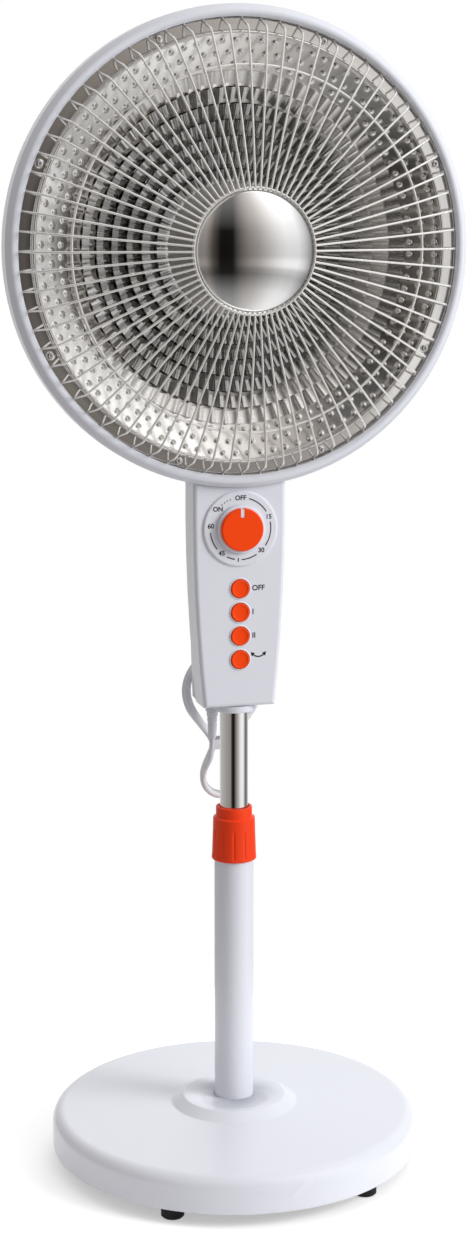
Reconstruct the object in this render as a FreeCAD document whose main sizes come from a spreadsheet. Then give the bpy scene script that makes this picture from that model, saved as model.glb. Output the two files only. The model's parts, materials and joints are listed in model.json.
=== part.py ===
import FreeCAD, Part
import math
import os
import Sketcher

# Pedestal carbon heater, millimetres. The front faces -Y, +X is the viewer's
# right, and the origin lies on the floor under the pole.

doc = FreeCAD.newDocument("carbon_heater")
sheet = doc.addObject("Spreadsheet::Sheet", "Sizes")
Vec = FreeCAD.Vector

SIZES = [
    # round base
    ("base_r", 164.0),
    ("base_bottom", 13.0),
    ("base_high", 32.0),
    ("base_shoulder", "=base_bottom + base_high"),
    ("base_edge_round", 11.0),
    ("crown_high", 4.0),
    ("crown_z", "=base_shoulder + crown_high"),
    ("disc_r", 56.5),
    ("disc_slope", 10.5),
    ("plateau_r", "=disc_r - disc_slope"),
    ("disc_high", 7.0),
    ("plateau_z", "=crown_z + disc_high"),
    ("base_wall", 3.0),
    ("plate_sink", 1.0),
    ("plate_z", "=base_bottom + plate_sink"),
    ("plate_thick", 3.0),
    ("plate_gap", 0.3),
    ("weight_inset", 16.0),
    ("weight_r", "=base_r - weight_inset"),
    ("weight_bore", 45.0),
    ("weight_thick", 8.0),
    ("foot_r", 10.0),
    ("foot_taper", 1.5),
    ("foot_inset", 17.0),
    ("foot_orbit", "=base_r - foot_inset"),
    ("flange_r", 38.0),
    ("flange_thick", 4.0),
    ("spigot_len", 18.0),
    ("bolt_r", 4.0),
    ("bolt_head_r", 8.0),
    ("bolt_head_thick", 5.0),
    ("bolt_len", 24.0),
    # telescopic pole
    ("pipe_r", 12.5),
    ("pipe_wall", 1.2),
    ("tube_step", 5.0),
    ("tube_r", "=pipe_r + tube_step"),
    ("tube_wall", 1.5),
    ("tube_top", 283.0),
    ("pipe_tuck", 152.0),
    ("pipe_bottom", "=tube_top - pipe_tuck"),
    ("slide_fit", 0.1),
    ("bush_len", 20.0),
    ("collet_sleeve", 20.0),
    ("collet_rim", 4.0),
    ("collet_wall", 2.3),
    ("collet_r", "=pipe_r + collet_wall"),
    ("collet_len", 31.0),
    ("collet_slot", 2.0),
    ("nut_skirt", 6.0),
    ("nut_bottom", "=tube_top - nut_skirt"),
    ("nut_rise", 42.0),
    ("nut_top", "=tube_top + nut_rise"),
    ("nut_wall", 1.8),
    ("nut_r", "=tube_r + nut_wall"),
    ("nut_taper", 0.9),
    ("nut_r_high", "=nut_r - nut_taper"),
    ("nut_neck", 12.0),
    ("nut_waist_z", "=nut_top - nut_neck"),
    ("nut_collar_high", 8.0),
    ("nut_collar_z", "=nut_top - nut_collar_high"),
    ("nut_collar_wall", 3.5),
    ("nut_collar_r", "=pipe_r + nut_collar_wall"),
    ("nut_clear", 0.35),
    ("nut_round", 1.2),
    ("rib_count", 24.0),
    ("rib_high", 0.6),
    ("rib_sink", 0.8),
    ("rib_width", 2.2),
    ("rib_len", 27.0),
    # heights of the housing and the head
    ("box_rise", 136.0),
    ("box_bottom", "=tube_top + box_rise"),
    ("box_high", 198.0),
    ("box_top", "=box_bottom + box_high"),
    ("ring_r", 200.0),
    ("ring_tuck", 5.0),
    ("head_z", "=box_top + ring_r - ring_tuck"),
    # swing bearing
    ("hub_high", 21.0),
    ("hub_top", "=box_bottom + hub_high"),
    ("hub_roof", 6.0),
    ("pipe_top", "=hub_top - hub_roof"),
    ("socket_drop", 6.4),
    ("socket_z", "=box_bottom - socket_drop"),
    ("socket_wall", 6.5),
    ("socket_r", "=pipe_r + socket_wall"),
    ("socket_round", 1.2),
    ("hub_wall", 2.4),
    ("hub_r", "=pipe_r + hub_wall"),
    ("swing_gap", 0.4),
    ("sleeve_wall", 2.1),
    ("sleeve_r", "=hub_r + sleeve_wall"),
    ("yoke_thick", 2.5),
    ("yoke_lap", 1.6),
    ("yoke_r", "=hub_r + yoke_lap"),
    ("yoke_reach", 36.0),
    ("yoke_width", 12.0),
    ("yoke_slot", 5.6),
    # control housing
    ("box_low_half", 31.8),
    ("box_flare", 8.8),
    ("box_top_half", "=box_low_half + box_flare"),
    ("box_bow", 3.0),
    ("box_front", 20.0),
    ("box_split", 2.0),
    ("box_back", 10.0),
    ("box_wall", 2.5),
    ("box_round", 3.5),
    ("hump_deep", 35.0),
    ("hump_back", "=box_back + hump_deep"),
    ("hump_drop", 10.0),
    ("hump_bottom", "=box_bottom - hump_drop"),
    ("hump_low_half", 20.0),
    ("hump_flare_high", 8.0),
    ("hump_flare_z", "=hump_bottom + hump_flare_high"),
    ("hump_in", 4.8),
    ("hump_flare_half", "=box_low_half - hump_in"),
    ("hump_widen", 6.0),
    ("hump_mid_z", "=box_top - ring_tuck"),
    ("hump_mid_half", "=hump_flare_half + hump_widen"),
    ("spine_drop", 88.0),
    ("spine_top", "=head_z - spine_drop"),
    ("spine_in", 9.0),
    ("spine_half", "=hump_mid_half - spine_in"),
    ("spine_round", 12.0),
    ("roof_thick", 13.0),
    ("cavity_top", "=box_top - roof_thick"),
    # timer and buttons
    ("dial_drop", 41.2),
    ("dial_z", "=box_top - dial_drop"),
    ("bezel_r", 33.0),
    ("bezel_high", 2.0),
    ("bezel_round", 1.8),
    ("skirt_r", 21.0),
    ("skirt_thick", 3.5),
    ("skirt_round", 1.6),
    ("cap_in", 2.4),
    ("cap_r", "=skirt_r - cap_in"),
    ("cap_thick", 3.5),
    ("cap_round", 1.4),
    ("knob_gap", 0.4),
    ("pointer_width", 3.4),
    ("pointer_len", 8.0),
    ("pointer_end", 1.0),
    ("shaft_r", 3.0),
    ("shaft_fit", 0.08),
    ("shaft_depth", 14.0),
    ("shaft_end", 1.0),
    ("timer_half", 19.0),
    ("timer_depth", 24.0),
    ("button_r", 8.15),
    ("button_gap", 0.35),
    ("button_pitch", 20.8),
    ("button_rise", 42.0),
    ("button_low_z", "=box_bottom + button_rise"),
    ("button_proud", 1.8),
    ("button_round", 1.2),
    ("button_sink", 0.5),
    ("button_stem_r", 3.0),
    ("button_stem_len", 11.0),
    ("switch_sink", 8.0),
    ("switch_front", "=box_front - switch_sink"),
    ("switch_half", 14.0),
    ("switch_depth", 17.0),
    ("switch_margin", 11.0),
    ("switch_low", "=button_low_z - switch_margin"),
    ("switch_high", "=button_low_z + 3 * button_pitch + switch_margin"),
    ("bore_depth", 13.0),
    ("rib_inner", 10.5),
    ("rib_outer", 13.0),
    # swing drive
    ("motor_y", 25.0),
    ("motor_r", 17.0),
    ("motor_rise", 12.0),
    ("motor_z", "=hub_top + motor_rise"),
    ("motor_thick", 16.0),
    ("bracket_thick", 2.5),
    ("bracket_half", 22.0),
    ("crank_y", 20.0),
    ("crank_r", 13.0),
    ("crank_thick", 3.0),
    ("crank_throw", 10.0),
    ("crank_pin_r", 2.4),
    ("crank_shaft_r", 3.0),
    ("crank_shaft_len", 12.0),
    ("crank_clear", 1.5),
    ("block_rise", 86.0),
    ("block_z", "=box_bottom + block_rise"),
    ("block_half", 15.0),
    ("block_high", 18.0),
    ("block_deep", 12.0),
    # round head, w is the distance in front of the pole axis
    ("ring_front", 30.5),
    ("ring_back", 8.0),
    ("ring_width", 10.5),
    ("ring_bore", "=ring_r - ring_width"),
    ("ring_wall", 2.1),
    ("ring_bevel_deep", 6.0),
    ("ring_bevel_wide", 4.5),
    ("ring_chamfer", 2.6),
    ("ring_round", 3.0),
    ("ring_lip_high", 4.3),
    ("ring_lip_w", "=ring_front - ring_lip_high"),
    ("groove_wall", 6.2),
    ("ring_groove_r", "=ring_r - groove_wall"),
    ("groove_high", 3.0),
    ("seat_w", "=ring_lip_w - groove_high"),
    ("sheet_thick", 1.2),
    ("seat_gap", 0.6),
    ("seat_r", "=ring_r - ring_wall - seat_gap"),
    ("shell_gap", 0.4),
    ("shell_r", "=ring_r - ring_wall - shell_gap"),
    ("shell_wall", 2.0),
    ("shell_side_w", -2.0),
    ("shell_in_two", 9.5),
    ("shell_r_two", "=shell_r - shell_in_two"),
    ("shell_w_two", -15.0),
    ("shell_in_three", 23.0),
    ("shell_r_three", "=shell_r_two - shell_in_three"),
    ("shell_w_three", -27.0),
    ("shell_in_four", 40.0),
    ("shell_r_four", "=shell_r_three - shell_in_four"),
    ("shell_back_w", -34.0),
    ("shell_round", 24.0),
    ("saddle_gap", 0.5),
    ("vent_count", 11.0),
    ("vent_span", 100.0),
    ("vent_margin", 17.0),
    ("vent_high_r", "=shell_r_four - vent_margin"),
    ("vent_len", 38.0),
    ("vent_low_r", "=vent_high_r - vent_len"),
    ("vent_width", 5.0),
    # faceted reflector
    ("facet_count", 80.0),
    ("flange_width", 10.9),
    ("lip_r", "=ring_bore - flange_width"),
    ("lip_rise", 6.0),
    ("lip_w", "=seat_w + lip_rise"),
    ("lip_width", 2.4),
    ("lip_lean", 0.6),
    ("band_drop", 1.8),
    ("band_w", "=lip_w - band_drop"),
    ("band_width", 31.6),
    ("tier_r", "=lip_r - band_width"),
    ("band_fall", 11.9),
    ("tier_w", "=band_w - band_fall"),
    ("core_r", 67.0),
    ("bowl_deep", 20.5),
    ("core_w", "=tier_w - bowl_deep"),
    ("core_drop", 1.0),
    ("tier_bow", 4.6),
    ("tier_step", 1.8),
    ("tier_lap", 0.5),
    ("draft", 0.1),
    ("core_bore", 24.4),
    # wire grille
    ("spoke_count", 72.0),
    ("wire_r", 1.0),
    ("rim_wire_r", 1.3),
    ("rim_gap", 2.4),
    ("rim_orbit", "=ring_groove_r - rim_gap"),
    ("rim_rise", 1.4),
    ("rim_w", "=seat_w + rim_rise"),
    ("toe_in", 1.9),
    ("toe_r", "=ring_bore - toe_in"),
    ("bend_in", 8.5),
    ("bend_r", "=ring_bore - bend_in"),
    ("bend_rise", 20.4),
    ("bend_w", "=rim_w + bend_rise"),
    ("mid_in", 31.0),
    ("mid_orbit", "=bend_r - mid_in"),
    ("mid_rise", 8.0),
    ("mid_w", "=bend_w + mid_rise"),
    ("mid_wire_r", 1.2),
    ("hub_orbit", 51.6),
    ("hub_rise", 13.6),
    ("hub_w", "=mid_w + hub_rise"),
    ("hub_wire_r", 1.5),
    ("weld_sink", 0.9),
    # dome and heating element
    ("dome_in", 1.9),
    ("dome_r", "=hub_orbit - dome_in"),
    ("dome_sag", 15.0),
    ("dome_wall", 1.2),
    ("dome_lip_out", 1.2),
    ("dome_lip_r", "=hub_orbit + dome_lip_out"),
    ("dome_lip_thick", 1.2),
    ("back_thick", 1.2),
    ("cap_core_r", 23.0),
    ("cap_core_len", 10.0),
    ("quartz_r", 7.0),
    ("quartz_wall", 1.4),
    ("quartz_offset", 11.0),
    ("carbon_r", 2.2),
    ("base_core_r", 24.0),
    ("base_core_w", 8.0),
    ("base_core_back", -18.0),
    ("collar_r", 30.0),
    ("collar_thick", 3.0),
    ("bracket_core_r", 20.0),
    # mains lead, tied in a hank behind the pole
    ("cord_d", 5.0),
    ("relief_x", -12.0),
    ("relief_inset", 15.0),
    ("relief_y", "=hump_back - relief_inset"),
    ("relief_len", 29.0),
    ("relief_tip_z", "=hump_bottom - relief_len"),
    ("relief_r", 5.0),
    ("relief_tip_r", 3.5),
    ("relief_rim", 1.0),
    ("relief_rim_high", 4.0),
    ("hank_x", 6.0),
    ("hank_gap", 5.5),
    ("hank_y", "=hump_back + hank_gap"),
    ("hank_step", 6.7),
    ("hank_loops", 4.0),
    ("low_half", 17.5),
    ("low_drop", 73.0),
    ("low_z", "=hump_bottom - low_drop"),
    ("waist_half", 5.0),
    ("waist_drop", 42.0),
    ("waist_z", "=hump_bottom - waist_drop"),
    ("high_half", 33.0),
    ("high_rise", 8.0),
    ("high_z", "=hump_bottom + high_rise"),
    ("loop_spread", 2.0),
    ("plug_x", 30.0),
    ("plug_gap", 36.7),
    ("plug_y", "=hank_y + hank_step * hank_loops + plug_gap"),
    ("plug_rise", 36.0),
    ("plug_z", "=hump_bottom + plug_rise"),
    ("plug_r", 15.5),
    ("plug_neck_r", 7.0),
    ("plug_neck_taper", 2.0),
    ("plug_len", 40.0),
    ("plug_pin_r", 2.4),
    ("plug_pin_len", 19.0),
    ("plug_pin_pitch", 19.0),
    ("tie_gap", 0.5),
    ("tie_thick", 1.2),
    ("tie_high", 9.0),
]

for row, (alias, value) in enumerate(SIZES, 1):
    sheet.set("A%d" % row, alias)
    sheet.set("B%d" % row, str(value))
    sheet.setAlias("B%d" % row, alias)
doc.recompute()


class Size:
    """A length that knows its value and the sheet formula it comes from."""

    def __init__(self, value, text):
        self.v = value
        self.s = text

    @staticmethod
    def of(thing):
        if isinstance(thing, Size):
            return thing
        return Size(float(thing), repr(float(thing)))

    def join(self, other, value, sign):
        return Size(value, "(%s %s %s)" % (self.s, sign, other.s))

    def __add__(self, other):
        other = Size.of(other)
        return self.join(other, self.v + other.v, "+")

    def __radd__(self, other):
        return Size.of(other) + self

    def __sub__(self, other):
        other = Size.of(other)
        return self.join(other, self.v - other.v, "-")

    def __rsub__(self, other):
        return Size.of(other) - self

    def __mul__(self, other):
        other = Size.of(other)
        return self.join(other, self.v * other.v, "*")

    def __rmul__(self, other):
        return Size.of(other) * self

    def __truediv__(self, other):
        other = Size.of(other)
        return self.join(other, self.v / other.v, "/")

    def __neg__(self):
        return Size(-self.v, "(0 - %s)" % self.s)


class Sizes:
    pass


P = Sizes()
for alias, value in SIZES:
    setattr(P, alias, Size(float(sheet.get(alias)), "Sizes." + alias))

NODES = []


def start(name, at_head=False):
    """A new body; on the head its Z axis points to the front."""
    body = doc.addObject("PartDesign::Body", name)
    body.Label = name
    if at_head:
        turn = FreeCAD.Rotation(Vec(1, 0, 0), 90)
        body.Placement = FreeCAD.Placement(Vec(0, 0, P.head_z.v), turn)
        body.setExpression("Placement.Base.z", P.head_z.s)
    NODES.append(body)
    return body


def sketch_on(body, plane, lift=None):
    sk = body.newObject("Sketcher::SketchObject", body.Name + "_sketch")
    face = [f for f in body.Origin.OriginFeatures if f.Role == plane][0]
    sk.AttachmentSupport = [(face, "")]
    sk.MapMode = "FlatFace"
    if lift is not None:
        lift = Size.of(lift)
        sk.AttachmentOffset = FreeCAD.Placement(Vec(0, 0, lift.v), FreeCAD.Rotation())
        sk.setExpression("AttachmentOffset.Base.z", lift.s)
    return sk


def rule(sk, kind, args, size):
    """A dimension in a sketch that follows the sheet."""
    index = sk.addConstraint(Sketcher.Constraint(kind, *args, size.v))
    sk.setExpression("Constraints[%d]" % index, size.s)


def pin(sk, geo, pos, x, y):
    x = Size.of(x)
    y = Size.of(y)
    for kind, axis, size in (("DistanceX", -2, x), ("DistanceY", -1, y)):
        if abs(size.v) < 1e-9:
            sk.addConstraint(Sketcher.Constraint("PointOnObject", geo, pos, axis))
        elif size.v > 0:
            rule(sk, kind, (-1, 1, geo, pos), size)
        else:
            rule(sk, kind, (geo, pos, -1, 1), -size)


def loop(sk, points):
    """A closed outline through the points."""
    spots = [(Size.of(x), Size.of(y)) for x, y in points]
    first = sk.GeometryCount
    count = len(spots)
    for i in range(count):
        a = spots[i]
        b = spots[(i + 1) % count]
        sk.addGeometry(Part.LineSegment(Vec(a[0].v, a[1].v, 0), Vec(b[0].v, b[1].v, 0)), False)
    for i in range(count):
        after = first + (i + 1) % count
        sk.addConstraint(Sketcher.Constraint("Coincident", first + i, 2, after, 1))
    for i in range(count):
        pin(sk, first + i, 1, spots[i][0], spots[i][1])


def ring(sk, x, y, radius):
    x = Size.of(x)
    y = Size.of(y)
    radius = Size.of(radius)
    geo = sk.addGeometry(Part.Circle(Vec(x.v, y.v, 0), Vec(0, 0, 1), radius.v), False)
    rule(sk, "Radius", (geo,), radius)
    if abs(x.v) < 1e-9 and abs(y.v) < 1e-9:
        sk.addConstraint(Sketcher.Constraint("Coincident", geo, 3, -1, 1))
    else:
        pin(sk, geo, 3, x, y)


def turn(body, points):
    """Material turned about the body's Z axis."""
    sk = sketch_on(body, "XZ_Plane")
    loop(sk, points)
    rev = body.newObject("PartDesign::Revolution", body.Name + "_turn")
    rev.Profile = sk
    rev.ReferenceAxis = (sk, ["V_Axis"])
    rev.Angle = 360
    return rev


def pad(body, plane, lift, length, outlines=(), circles=()):
    sk = sketch_on(body, plane, lift)
    for points in outlines:
        loop(sk, points)
    for x, y, r in circles:
        ring(sk, x, y, r)
    op = body.newObject("PartDesign::Pad", body.Name + "_pad")
    op.Profile = sk
    length = Size.of(length)
    op.Length = length.v
    op.setExpression("Length", length.s)
    return op


def pocket(body, plane, lift, length, outlines=(), circles=(), along=False):
    """A cut from a plane: against its normal, or along it."""
    doc.recompute()
    before = body.Shape.Volume
    sk = sketch_on(body, plane, lift)
    for points in outlines:
        loop(sk, points)
    for x, y, r in circles:
        ring(sk, x, y, r)
    op = body.newObject("PartDesign::Pocket", body.Name + "_cut")
    op.Profile = sk
    length = Size.of(length)
    op.Length = length.v
    op.setExpression("Length", length.s)
    op.Reversed = along
    doc.recompute()
    if body.Shape.Volume > before - 0.5:
        raise ValueError("cut removes nothing in " + body.Name)
    return op


def soften(body, base, radius, wanted):
    """Round the edges of base that the test picks."""
    doc.recompute()
    names = []
    for i, edge in enumerate(base.Shape.Edges, 1):
        if wanted(edge):
            names.append("Edge%d" % i)
    if not names:
        raise ValueError("no edge to round in " + body.Name)
    op = body.newObject("PartDesign::Fillet", body.Name + "_round")
    op.Base = (base, names)
    radius = Size.of(radius)
    op.Radius = radius.v
    op.setExpression("Radius", radius.s)
    doc.recompute()
    return op


def circle_at(r, z):
    r = Size.of(r)
    z = Size.of(z)

    def test(edge):
        curve = edge.Curve
        if not isinstance(curve, Part.Circle):
            return False
        return abs(curve.Radius - r.v) < 1e-3 and abs(curve.Center.z - z.v) < 1e-3

    return test


def any_of(*tests):
    return lambda edge: any(test(edge) for test in tests)


def tube(name, inner, outer, low, high, at_head=False):
    body = start(name, at_head)
    turn(body, [(inner, low), (outer, low), (outer, high), (inner, high)])
    return body


def rod(name, x, y, radius, low, high, at_head=False):
    body = start(name, at_head)
    pad(body, "XY_Plane", low, Size.of(high) - low, circles=[(x, y, radius)])
    return body


# Base: moulded cover over a bottom plate with ballast and feet

plate_top = P.plate_z + P.plate_thick
cover_in = P.base_r - P.base_wall

cover = start("base_cover")
cover_turn = turn(cover, [
    (P.base_r, P.base_bottom),
    (P.base_r, P.base_shoulder),
    (P.disc_r, P.crown_z),
    (P.plateau_r, P.plateau_z),
    (P.tube_r + P.nut_clear, P.plateau_z),
    (P.tube_r + P.nut_clear, P.plateau_z - P.base_wall),
    (P.plateau_r - P.base_wall / 2, P.plateau_z - P.base_wall),
    (P.disc_r - P.base_wall / 2, P.crown_z - P.base_wall),
    (cover_in - P.base_wall, P.base_shoulder - P.base_wall),
    (cover_in - P.base_wall, plate_top),
    (cover_in, plate_top),
    (cover_in, P.base_bottom),
])
cover_edge = soften(cover, cover_turn, P.base_edge_round, circle_at(P.base_r, P.base_shoulder))
soften(cover, cover_edge, P.base_wall, any_of(circle_at(P.disc_r, P.crown_z),
                                              circle_at(P.plateau_r, P.plateau_z)))

plate = start("base_plate")
pad(plate, "XY_Plane", P.plate_z, P.plate_thick,
    circles=[(0, 0, cover_in - P.plate_gap), (0, 0, P.bolt_r + P.plate_gap)])

tube("base_weight", P.weight_bore, P.weight_r, plate_top, plate_top + P.weight_thick)

for tag, degrees in (("front_left", -36), ("front_right", 36), ("side_left", -108),
                     ("side_right", 108), ("rear", 180)):
    foot = start("foot_" + tag)
    profile = turn(foot, [(0, 0), (P.foot_r - P.foot_taper, 0),
                          (P.foot_r, P.foot_taper), (P.foot_r, P.plate_z), (0, P.plate_z)])
    across = P.foot_orbit * round(math.sin(math.radians(degrees)), 9)
    along = P.foot_orbit * -round(math.cos(math.radians(degrees)), 9)
    foot.Placement = FreeCAD.Placement(Vec(across.v, along.v, 0), FreeCAD.Rotation())
    foot.setExpression("Placement.Base.x", across.s)
    foot.setExpression("Placement.Base.y", along.s)

# Pole foot: flange with a spigot inside the outer tube, held by a bolt

tube_in = P.tube_r - P.tube_wall
flange_top = plate_top + P.flange_thick
spigot_r = tube_in - P.slide_fit

flange = start("pole_flange")
turn(flange, [
    (P.bolt_r + P.slide_fit, plate_top),
    (P.flange_r, plate_top),
    (P.flange_r, flange_top),
    (spigot_r, flange_top),
    (spigot_r, flange_top + P.spigot_len),
    (P.bolt_r + P.slide_fit, flange_top + P.spigot_len),
])

bolt = start("base_bolt")
turn(bolt, [
    (0, P.plate_z - P.bolt_head_thick),
    (P.bolt_head_r, P.plate_z - P.bolt_head_thick),
    (P.bolt_head_r, P.plate_z),
    (P.bolt_r, P.plate_z),
    (P.bolt_r, P.plate_z + P.bolt_len),
    (0, P.plate_z + P.bolt_len),
])

tube("outer_tube", tube_in, P.tube_r, flange_top, P.tube_top)

# Split collet at the mouth of the outer tube

collet_bore = P.pipe_r + P.slide_fit
rim_top = P.tube_top + P.collet_rim
collet_top = rim_top + P.collet_len
collet = start("tube_collet")
turn(collet, [
    (collet_bore, P.tube_top - P.collet_sleeve),
    (tube_in - P.slide_fit / 2, P.tube_top - P.collet_sleeve),
    (tube_in - P.slide_fit / 2, P.tube_top),
    (P.tube_r - P.slide_fit, P.tube_top),
    (P.tube_r - P.slide_fit, rim_top),
    (P.collet_r, rim_top),
    (P.collet_r, collet_top),
    (collet_bore, collet_top),
])
half_slot = P.collet_slot / 2
slot_reach = P.collet_r + P.collet_slot
pocket(collet, "XY_Plane", collet_top, P.collet_len - P.collet_rim, outlines=[
    [(-slot_reach, -half_slot), (slot_reach, -half_slot), (slot_reach, half_slot), (-slot_reach, half_slot)]])
pocket(collet, "XY_Plane", collet_top, P.collet_len - P.collet_rim, outlines=[
    [(-half_slot, -slot_reach), (half_slot, -slot_reach), (half_slot, slot_reach), (-half_slot, slot_reach)]])

# Orange lock nut with grip ribs

nut = start("lock_nut")
nut_seat = rim_top + P.nut_clear
nut_turn = turn(nut, [
    (P.tube_r + P.nut_clear, P.nut_bottom),
    (P.nut_r, P.nut_bottom),
    (P.nut_r_high, P.nut_waist_z),
    (P.nut_collar_r, P.nut_collar_z),
    (P.nut_collar_r, P.nut_top),
    (P.pipe_r + P.nut_clear, P.nut_top),
    (P.pipe_r + P.nut_clear, collet_top + P.nut_clear),
    (P.collet_r + P.slide_fit, collet_top + P.nut_clear),
    (P.collet_r + P.slide_fit, nut_seat),
    (P.tube_r + P.nut_clear, nut_seat),
])
soften(nut, nut_turn, P.nut_round, any_of(circle_at(P.nut_collar_r, P.nut_top),
                                          circle_at(P.nut_r_high, P.nut_waist_z)))
rib = pad(nut, "XY_Plane", P.nut_bottom + P.rib_sink, P.rib_len, outlines=[[
    (P.nut_r_high - P.rib_sink, -P.rib_width / 2),
    (P.nut_r + P.rib_high, -P.rib_width / 4),
    (P.nut_r + P.rib_high, P.rib_width / 4),
    (P.nut_r_high - P.rib_sink, P.rib_width / 2)]])
doc.recompute()
ribs = nut.newObject("PartDesign::PolarPattern", "nut_ribs")
ribs.Originals = [rib]
ribs.Axis = (rib.Profile[0], ["N_Axis"])
ribs.Angle = 360
ribs.Occurrences = int(P.rib_count.v)
ribs.setExpression("Occurrences", P.rib_count.s)
nut.Tip = ribs

# Chrome inner tube, its guide bush and the swing bearing on top of it

tube("inner_tube", P.pipe_r - P.pipe_wall, P.pipe_r, P.pipe_bottom, P.pipe_top)

bush = start("tube_bush")
turn(bush, [
    (0, P.pipe_bottom - P.collet_rim),
    (spigot_r, P.pipe_bottom - P.collet_rim),
    (spigot_r, P.pipe_bottom),
    (P.pipe_r - P.pipe_wall - P.slide_fit, P.pipe_bottom),
    (P.pipe_r - P.pipe_wall - P.slide_fit, P.pipe_bottom + P.bush_len),
    (0, P.pipe_bottom + P.bush_len),
])

socket_top = P.box_bottom - P.swing_gap
socket = start("swing_socket")
socket_turn = turn(socket, [
    (P.pipe_r + P.slide_fit, P.socket_z),
    (P.socket_r, P.socket_z),
    (P.socket_r, socket_top),
    (P.hub_r, socket_top),
    (P.hub_r, P.hub_top),
    (0, P.hub_top),
    (0, P.pipe_top),
    (P.pipe_r + P.slide_fit, P.pipe_top),
])
soften(socket, socket_turn, P.socket_round, circle_at(P.socket_r, P.socket_z))

yoke = start("swing_yoke")
pad(yoke, "XY_Plane", P.hub_top, P.yoke_thick, circles=[(0, 0, P.yoke_r)])
pad(yoke, "XY_Plane", P.hub_top, P.yoke_thick, outlines=[[
    (-P.yoke_width / 2, 0), (P.yoke_width / 2, 0),
    (P.yoke_width / 2, P.yoke_reach), (-P.yoke_width / 2, P.yoke_reach)]])
pocket(yoke, "XY_Plane", P.hub_top + P.yoke_thick, P.yoke_thick, outlines=[[
    (-P.yoke_slot / 2, P.crank_y - P.crank_throw - P.yoke_slot / 2),
    (P.yoke_slot / 2, P.crank_y - P.crank_throw - P.yoke_slot / 2),
    (P.yoke_slot / 2, P.crank_y + P.crank_throw + P.yoke_slot / 2),
    (-P.yoke_slot / 2, P.crank_y + P.crank_throw + P.yoke_slot / 2)]])

# Control housing: tapered front moulding under the ring, rear moulding with a spine

inner_low = P.box_bottom + P.box_wall
side_steps = 6


def housing(low, high, inset):
    """Front outline of the housing, its sides bowed outwards."""
    right = []
    for i in range(side_steps + 1):
        z = low + (high - low) * (i / side_steps)
        part = (z - P.box_bottom) / P.box_high
        bow = P.box_bow * (4.0 * part * (1.0 - part))
        right.append((P.box_low_half + P.box_flare * part + bow - inset, z))
    left = [(-x, z) for x, z in reversed(right)]
    return right + left


box_outline = housing(P.box_bottom, P.box_top, 0.0)
box_inside = housing(inner_low, P.cavity_top, P.box_wall)
hub_hole = P.hub_r + P.plate_gap

front = start("control_front")
front_pad = pad(front, "XZ_Plane", -P.box_split, P.box_front + P.box_split, outlines=[box_outline])


def box_edge(edge):
    spots = [v.Point for v in edge.Vertexes]
    if len(spots) != 2:
        return False
    forward = all(abs(p.y + P.box_front.v) < 1e-3 for p in spots)
    level = all(abs(p.z - P.box_top.v) < 1e-3 for p in spots)
    return forward and not level


soften(front, front_pad, P.box_round, box_edge)
bezel = pad(front, "XZ_Plane", P.box_front, P.bezel_high, circles=[(0, P.dial_z, P.bezel_r)])
soften(front, bezel, P.bezel_round, lambda edge: isinstance(edge.Curve, Part.Circle)
       and abs(edge.Curve.Radius - P.bezel_r.v) < 1e-3
       and abs(edge.Curve.Center.y + P.box_front.v + P.bezel_high.v) < 1e-3)
pocket(front, "XZ_Plane", -P.box_split, P.box_split + P.box_front - P.box_wall,
       outlines=[box_inside], along=True)
shaft_hole = P.shaft_r + P.button_gap
pocket(front, "XZ_Plane", P.box_front + P.bezel_high, P.bezel_high + P.box_wall,
       circles=[(0, P.dial_z, shaft_hole)])
button_heights = [P.button_low_z + P.button_pitch * i for i in range(4)]
pocket(front, "XZ_Plane", P.box_front, P.box_wall,
       circles=[(0, z, P.button_r + P.button_gap) for z in button_heights])
pocket(front, "XY_Plane", inner_low, P.box_wall, circles=[(0, 0, hub_hole)])
for side in (-1, 1):
    edges = [P.rib_inner * side, P.rib_outer * side]
    pad(front, "XZ_Plane", P.switch_front, P.box_front - P.box_wall - P.switch_front, outlines=[[
        (edges[0], P.switch_low), (edges[1], P.switch_low),
        (edges[1], P.switch_high), (edges[0], P.switch_high)]])


def saddle(body, hold_off):
    """Cut the seat for the ring and the dish out of a housing."""
    sk = sketch_on(body, "YZ_Plane")
    doc.recompute()
    before = body.Shape.Volume
    rim = P.ring_r + hold_off
    outline = [
        (-P.box_front * 3, P.head_z),
        (-P.box_front * 3, P.head_z - rim),
        (-P.ring_back + hold_off, P.head_z - rim),
        (-P.shell_side_w + hold_off, P.head_z - P.shell_r - hold_off),
        (-P.shell_w_two + hold_off, P.head_z - P.shell_r_two - hold_off),
        (-P.shell_w_three + hold_off, P.head_z - P.shell_r_three - hold_off),
        (-P.shell_back_w, P.head_z - P.shell_r_four - hold_off),
        (-P.shell_back_w, P.head_z),
    ]
    loop(sk, outline)
    axis = sk.addGeometry(Part.LineSegment(Vec(-50, P.head_z.v, 0), Vec(50, P.head_z.v, 0)), True)
    sk.addConstraint(Sketcher.Constraint("PointOnObject", axis, 1, len(outline) - 1))
    sk.addConstraint(Sketcher.Constraint("PointOnObject", axis, 2, len(outline) - 1))
    cut = body.newObject("PartDesign::Groove", body.Name + "_saddle")
    cut.Profile = sk
    cut.ReferenceAxis = (sk, ["Axis0"])
    cut.Angle = 360
    doc.recompute()
    if body.Shape.Volume > before - 0.5:
        raise ValueError("saddle removes nothing in " + body.Name)
    return cut


saddle(front, P.saddle_gap)

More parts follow.
